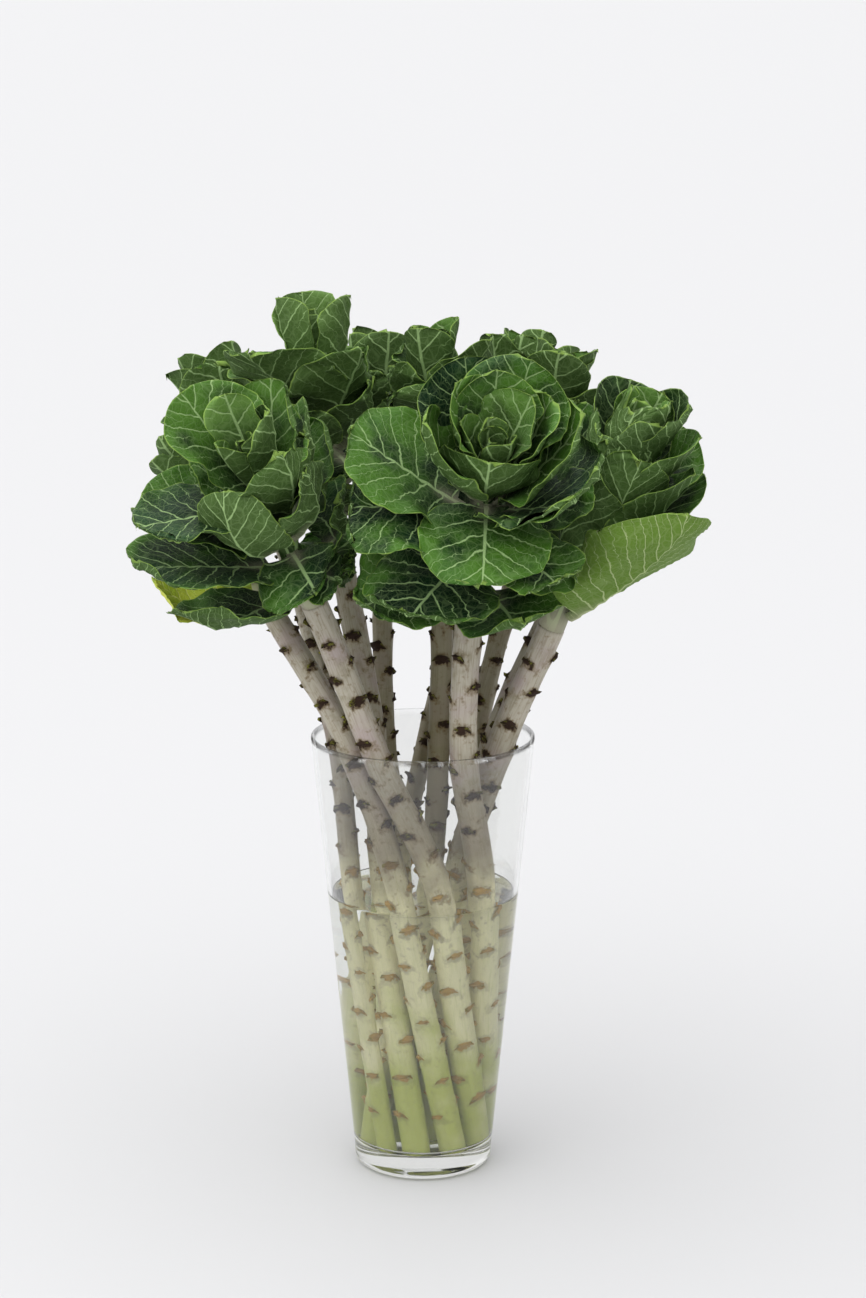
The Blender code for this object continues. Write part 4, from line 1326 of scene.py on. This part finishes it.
@dataclass
class LeafSkin:
    """One leaf as a fine skin: both faces' points and what the finish reads from them."""

    head: Head
    leaf: Leaf
    layer: float
    seed: int
    columns: int
    rows: int
    start: float = -1.0
    knots: tuple[int, int] = (9, 12)
    blade_thickness: float = 0.0009
    edge_thickness: float = 0.0003
    rib_depth: float = 0.0042
    wave: float = 0.0030
    wave_counts: tuple[float, float, float] = (3.0, 5.2, 9.0)
    pucker: float = 0.0012
    groove: float = 0.0012
    notch: float = 0.020
    stalk_rows: float = 0.20

    def blade_places(self, shares: np.ndarray) -> np.ndarray:
        """Spaces the rows out along the leaf, closer together at the tip.

        Args:
            shares: Even shares of the rows, from 0 to 1.

        Returns:
            Places along the leaf: -1 is the root of the leafstalk, 0 the blade's start and 1 its tip.
        """
        stalk = self.stalk_rows
        on_blade = np.clip((shares - stalk) / (1 - stalk), 0, 1)
        return np.where(shares < stalk, self.start * (1 - shares / stalk), 1 - (1 - on_blade) ** 1.5)

    def middle(self) -> tuple[np.ndarray, np.ndarray, np.ndarray]:
        """Works out the leaf's middle surface, pressed into the head's own space.

        Returns:
            The points, and their places across and along the leaf.
        """
        draw = np.random.default_rng(self.seed)
        shares = np.linspace(0, 1, self.rows + 1)
        columns = np.linspace(1, -1, self.columns + 1)
        blade, across = np.meshgrid(self.blade_places(shares), columns, indexing="ij")
        across = across.copy()
        for side in (0, -1):
            across[:, side] *= 1 + draw.uniform(-1, 1, self.rows + 1) * self.notch
        fine = self.head.surface(self.leaf, across, blade)
        knot_shares = np.linspace(0, 1, self.knots[1])
        knot_blade, knot_across = np.meshgrid(
            self.blade_places(knot_shares), np.linspace(1, -1, self.knots[0]), indexing="ij"
        )
        rough = self.head.surface(self.leaf, knot_across, knot_blade)
        shift = self.head.pressed(rough.reshape(-1, 3), self.layer).reshape(rough.shape) - rough
        down = spline_weights(self.knots[1], shares)
        sideways = spline_weights(self.knots[0], np.linspace(0, 1, self.columns + 1))
        shift = np.einsum("rk,kcx,sc->rsx", down, shift, sideways)
        return fine + shift, across, blade

    def faces(self) -> tuple[np.ndarray, np.ndarray, np.ndarray, np.ndarray]:
        """Gives the leaf its waves, puckers, midrib and thickness.

        Returns:
            Upper points, lower points, places (across, along, from the edge) and traits (tone, under, stalk).
        """
        points, across, blade = self.middle()
        down = np.gradient(points, axis=0)
        over = np.gradient(points, axis=1)
        normal = np.cross(over, down)
        normal /= np.maximum(np.linalg.norm(normal, axis=-1), 1e-9)[..., None]
        draw = np.random.default_rng(self.seed + 5000)
        leaf = self.leaf
        half = self.head.half_width(leaf, blade)
        x = across * half
        y = blade * leaf.length * (1 - leaf.petiole)
        on_blade = np.clip(blade * 8, 0, 1)
        size = leaf.width / 0.08
        phases = draw.uniform(0, math.tau, 6)
        ruffle = sum(
            np.sin(blade * math.pi * count + phases[k] + (across > 0) * phases[k + 3]) / (k + 1)
            for k, count in enumerate(self.wave_counts)
        )
        lift = self.wave * size * ruffle * np.abs(across) ** 3 * on_blade
        origin = vein_origin(x, y)
        between = np.abs(np.sin(math.pi * origin)) ** 0.8
        lift += self.pucker * size * (between - 0.5) * on_blade * (1 - np.abs(across) ** 4)
        lift -= self.groove * np.exp(-(x / 0.004) ** 2) * on_blade
        points = points + normal * lift[..., None]
        edge = np.minimum(half * (1 - np.abs(across)), (1 - blade) * leaf.length * 0.7)
        edge = np.maximum(edge, 0.0)
        thick = np.interp(edge, (0, 0.006), (self.edge_thickness, self.blade_thickness))
        stalk = np.clip(-blade * 3 + 0.15, 0, 1)
        rib = self.rib_depth * (1 - 0.90 * np.clip(blade, 0, 1) ** 0.55) * np.exp(-(x / (0.0032 * size)) ** 2)
        round_stalk = self.rib_depth * 1.15 * np.sqrt(np.maximum(0, 1 - across ** 2))
        thick = thick + np.where(blade < 0, round_stalk, rib)
        low, high = CAD_BOX
        upper = np.clip(points, low, high)
        lower = np.clip(points - normal * thick[..., None], low, high)
        places = np.stack((x, y, np.where(blade < 0.02, 1.0, edge)), axis=-1)
        whitish = np.clip(1 - (blade + 0.05) / 0.30, 0, 1) * np.exp(-(x / 0.005) ** 2)
        pale = 0.6 * np.maximum(stalk, whitish)
        traits = np.stack((np.full(x.shape, leaf.tone), np.zeros(x.shape), pale), axis=-1)
        return tuple(values.reshape(-1, 3) for values in (upper, lower, places, traits))


def leaf_object(name: str, skins: list[LeafSkin]) -> bpy.types.Object:
    """Makes closed leaves from their skins.

    Args:
        name: Name for the object.
        skins: The leaves that go in it.

    Returns:
        The object with its attributes.
    """
    bm = bmesh.new()
    for skin in skins:
        bmesh.ops.create_grid(bm, x_segments=skin.columns, y_segments=skin.rows, size=1.0)
    obj = object_from(bm, name)
    faces = [skin.faces() for skin in skins]
    upper, lower, places, traits = (np.concatenate([face[k] for face in faces]) for k in range(4))
    obj.data.vertices.foreach_set("co", upper.astype(np.float32).ravel())
    wall = obj.modifiers.new("thickness", "SOLIDIFY")
    wall.thickness = 0.001
    bpy.context.view_layer.update()
    mesh = bpy.data.meshes.new_from_object(obj.evaluated_get(bpy.context.evaluated_depsgraph_get()))
    obj.modifiers.clear()
    obj.data = mesh
    mesh.vertices.foreach_set("co", np.concatenate((upper, lower)).astype(np.float32).ravel())
    under = traits.copy()
    under[:, 1] = 1.0
    numbers = np.concatenate([np.full(len(face[0]), float(skin.seed)) for face, skin in zip(faces, skins)])
    write_attribute(mesh, "leaf_number", np.concatenate((numbers, numbers)))
    write_attribute(mesh, "place", np.concatenate((places, places)))
    write_attribute(mesh, "traits", np.concatenate((traits, under)))
    mesh.update()
    return obj


@dataclass
class HeadPiece:
    """A head of veined leaves on the leafy end of its stem."""

    head: Head
    number: int
    columns: int
    rows: int
    core_sides: int = 16

    def core(self) -> bpy.types.Object:
        """Makes the leafy end of the stem, hidden among the leafstalks.

        Returns:
            Its object, which joins the leaves.
        """
        stem = self.head.stem
        radius = stem.plant.radius * STEM_TAPER
        start = np.array(stem.neck + stem.axis * GAP)
        top = np.array(stem.crown + stem.axis * 0.006)
        bm = bmesh.new()
        place_layer, traits_layer = point_layers(bm)
        bmesh.ops.create_grid(bm, x_segments=self.core_sides, y_segments=12, size=1.0)
        for vert in bm.verts:
            turn, share = vert.co.x * math.pi, (vert.co.y + 1) / 2
            wide = radius * (1 - 0.55 * share ** 1.6)
            out = self.head.right * math.cos(turn) + self.head.back * math.sin(turn)
            vert[place_layer] = (math.cos(turn) * 0.01, share * 0.02, 1.0)
            vert[traits_layer] = (0.1, 0.3, max(0.0, 0.9 - 3.0 * share))
            vert.co = start + (top - start) * share + out * wide
        close_tube(bm)
        return object_from(bm, "core")

    def build(self, materials: dict[str, bpy.types.Material]) -> list[bpy.types.Object]:
        """Makes the head, and its loose lowest leaf if it has one.

        Args:
            materials: The leaf finishes by slot.

        Returns:
            The pieces.
        """
        head = self.head
        name = head.plant.name
        leaves = head.leaves()
        skins = [
            LeafSkin(head, leaf, layer, self.number * 100 + layer, self.columns, self.rows)
            for layer, leaf in enumerate(leaves)
        ]
        pieces = []
        if name in LOOSE_LEAVES:
            slot = LOOSE_LEAVES[name]
            loose = skins.pop(0)
            clear = head.plant.radius * STEM_TAPER + 3 * GAP
            leaf = loose.leaf
            loose.start = clear / (math.sin(leaf.root_lean) * leaf.petiole * leaf.length) - 1
            piece = leaf_object("veined_" + slot, [loose])
            publish(piece, materials[slot], slot)
            pieces.append(piece)
        for index, leaf in enumerate(head.heart_leaves()):
            layer = len(leaves) + HEART_LAYER * index
            seed = self.number * 100 + HEART_SEED + index
            skins.append(LeafSkin(head, leaf, layer, seed, self.columns // 2, self.rows // 2))
        foliage = leaf_object("foliage", skins)
        piece = join(foliage, [self.core()], "leafy_head_" + name)
        publish(piece, materials["leaf"], "head_" + name)
        return pieces + [piece]


# Studio

class Detail(Enum):
    """How finely a head's leaves are divided, in columns and rows."""

    FRONT = (26, 38)
    BACK = (20, 30)


@dataclass
class Studio:
    """A pale floor, a bright soft sky, one wide lamp and the camera."""

    floor_size: float = 600.0
    floor_colour: Colour = (0.628, 0.628, 0.640, 1.0)
    sky: float = 0.78
    sun_glow: float = 1.2
    sun_way: tuple = (-0.28, -0.30, 0.91)
    key_place: tuple = (-1.1, -1.2, 2.3)
    key_size: float = 1.4
    key_power: float = 3.5
    target: tuple = (0, 0, 0.35)
    eye: tuple = (0.0068, -1.99, 0.7956)
    pitch: float = math.radians(12.4)
    lens: float = 85.0
    sensor: float = 36.0
    clear_bounces: int = 20
    glossy_bounces: int = 12

    def floor(self) -> None:
        """Lays the floor that everything stands on."""
        bm = bmesh.new()
        bmesh.ops.create_grid(bm, x_segments=1, y_segments=1, size=self.floor_size / 2)
        bmesh.ops.translate(bm, vec=(0, 0, -GAP), verts=bm.verts)
        plane = object_from(bm, "studio_floor")
        material, _, shader = new_material("studio_floor")
        shader.inputs["Base Color"].default_value = self.floor_colour
        shader.inputs["Roughness"].default_value = 0.65
        plane.data.materials.append(material)

    def key_lamp(self) -> None:
        """Hangs a wide lamp high at the left, looking at the bunch."""
        light = bpy.data.lights.new("key", "AREA")
        light.shape = "SQUARE"
        light.size = self.key_size
        light.energy = self.key_power
        obj = bpy.data.objects.new("key", light)
        bpy.context.scene.collection.objects.link(obj)
        obj.location = self.key_place
        obj.visible_glossy = False
        way = Vector(self.target) - Vector(self.key_place)
        obj.rotation_euler = way.to_track_quat("-Z", "Y").to_euler()

    def bright_sky(self) -> None:
        """Lights the studio from all round, brightest from above the camera."""
        world = bpy.data.worlds.new("studio")
        world.use_nodes = True
        background = world.node_tree.nodes["Background"]
        graph = Graph(world.node_tree)
        way = graph.add("ShaderNodeTexCoord").outputs["Generated"]
        facing = graph.add("ShaderNodeVectorMath", operation="DOT_PRODUCT")
        graph.feed(facing.inputs[0], way)
        graph.feed(facing.inputs[1], self.sun_way)
        glow = graph.fade(facing.outputs["Value"], 0.25, 0.98, self.sky, self.sky + self.sun_glow)
        graph.feed(background.inputs["Strength"], glow)
        background.inputs["Color"].default_value = (1.0, 1.0, 1.0, 1.0)
        bpy.context.scene.world = world

    def light_depth(self) -> None:
        """Lets light pass both walls of the glass and the water, and shows colours as they are."""
        scene = bpy.context.scene
        scene.cycles.max_bounces = self.clear_bounces
        scene.cycles.glossy_bounces = self.glossy_bounces
        scene.cycles.transmission_bounces = self.clear_bounces
        scene.view_settings.view_transform = "Standard"
        scene.view_settings.look = "None"

    def camera(self) -> None:
        """Sets the camera at the photograph's viewing angle."""
        data = bpy.data.cameras.new("camera")
        data.sensor_fit = "VERTICAL"
        data.sensor_height = self.sensor
        data.sensor_width = self.sensor
        data.lens = self.lens
        camera = bpy.data.objects.new("camera", data)
        bpy.context.scene.collection.objects.link(camera)
        camera.location = self.eye
        camera.rotation_euler = (math.pi / 2 - self.pitch, 0.0, 0.0)
        bpy.context.scene.camera = camera

    def build(self) -> None:
        """Sets the stage, the light and the camera."""
        self.floor()
        self.bright_sky()
        self.key_lamp()
        self.light_depth()
        self.camera()


# How much darker and more olive a stem's skin is, for the stems that are not pale
STEM_TONES = {"back_left": 0.7, "back_right": 0.6, "middle": 0.9, "right_back": 0.7, "left_top": 0.3}

LEAF_FINISHES = (
    LeafFinish("leaf"),
    LeafFinish(
        "light_leaf", dark=(0.030, 0.090, 0.008, 1.0), mid=(0.120, 0.225, 0.022, 1.0),
        bloom=(0.100, 0.190, 0.050, 1.0), under=(0.130, 0.230, 0.032, 1.0), vein=(0.480, 0.580, 0.280, 1.0),
    ),
    LeafFinish(
        "yellow_leaf", dark=(0.340, 0.460, 0.030, 1.0), mid=(0.560, 0.620, 0.060, 1.0),
        bloom=(0.500, 0.580, 0.080, 1.0), under=(0.600, 0.640, 0.100, 1.0), vein=(0.680, 0.720, 0.260, 1.0),
    ),
)


def main() -> None:
    """Builds the studio, the vase, the water, the stems and the heads."""
    logging.basicConfig(level=logging.INFO, format="%(name)s: %(message)s")
    Studio().build()
    pieces = [Vase().build(), Water().build()]
    stems = settle_stems()
    stem_material = StemFinish().material()
    for stem in stems:
        others = [other for other in stems if other is not stem]
        tone = STEM_TONES.get(stem.plant.name, 0.0)
        pieces.append(StemPiece(stem, others, tone).build(stem_material))
    veins = vein_group()
    materials = {finish.name: finish.material(veins) for finish in LEAF_FINISHES}
    for number, stem in enumerate(stems):
        detail = Detail.FRONT if stem.plant.name in FRONT_LEAVES else Detail.BACK
        pieces += HeadPiece(Head(stems, number), number, *detail.value).build(materials)
    LOG.info("%d pieces in all", len(pieces))


if __name__ == "__main__":
    main()
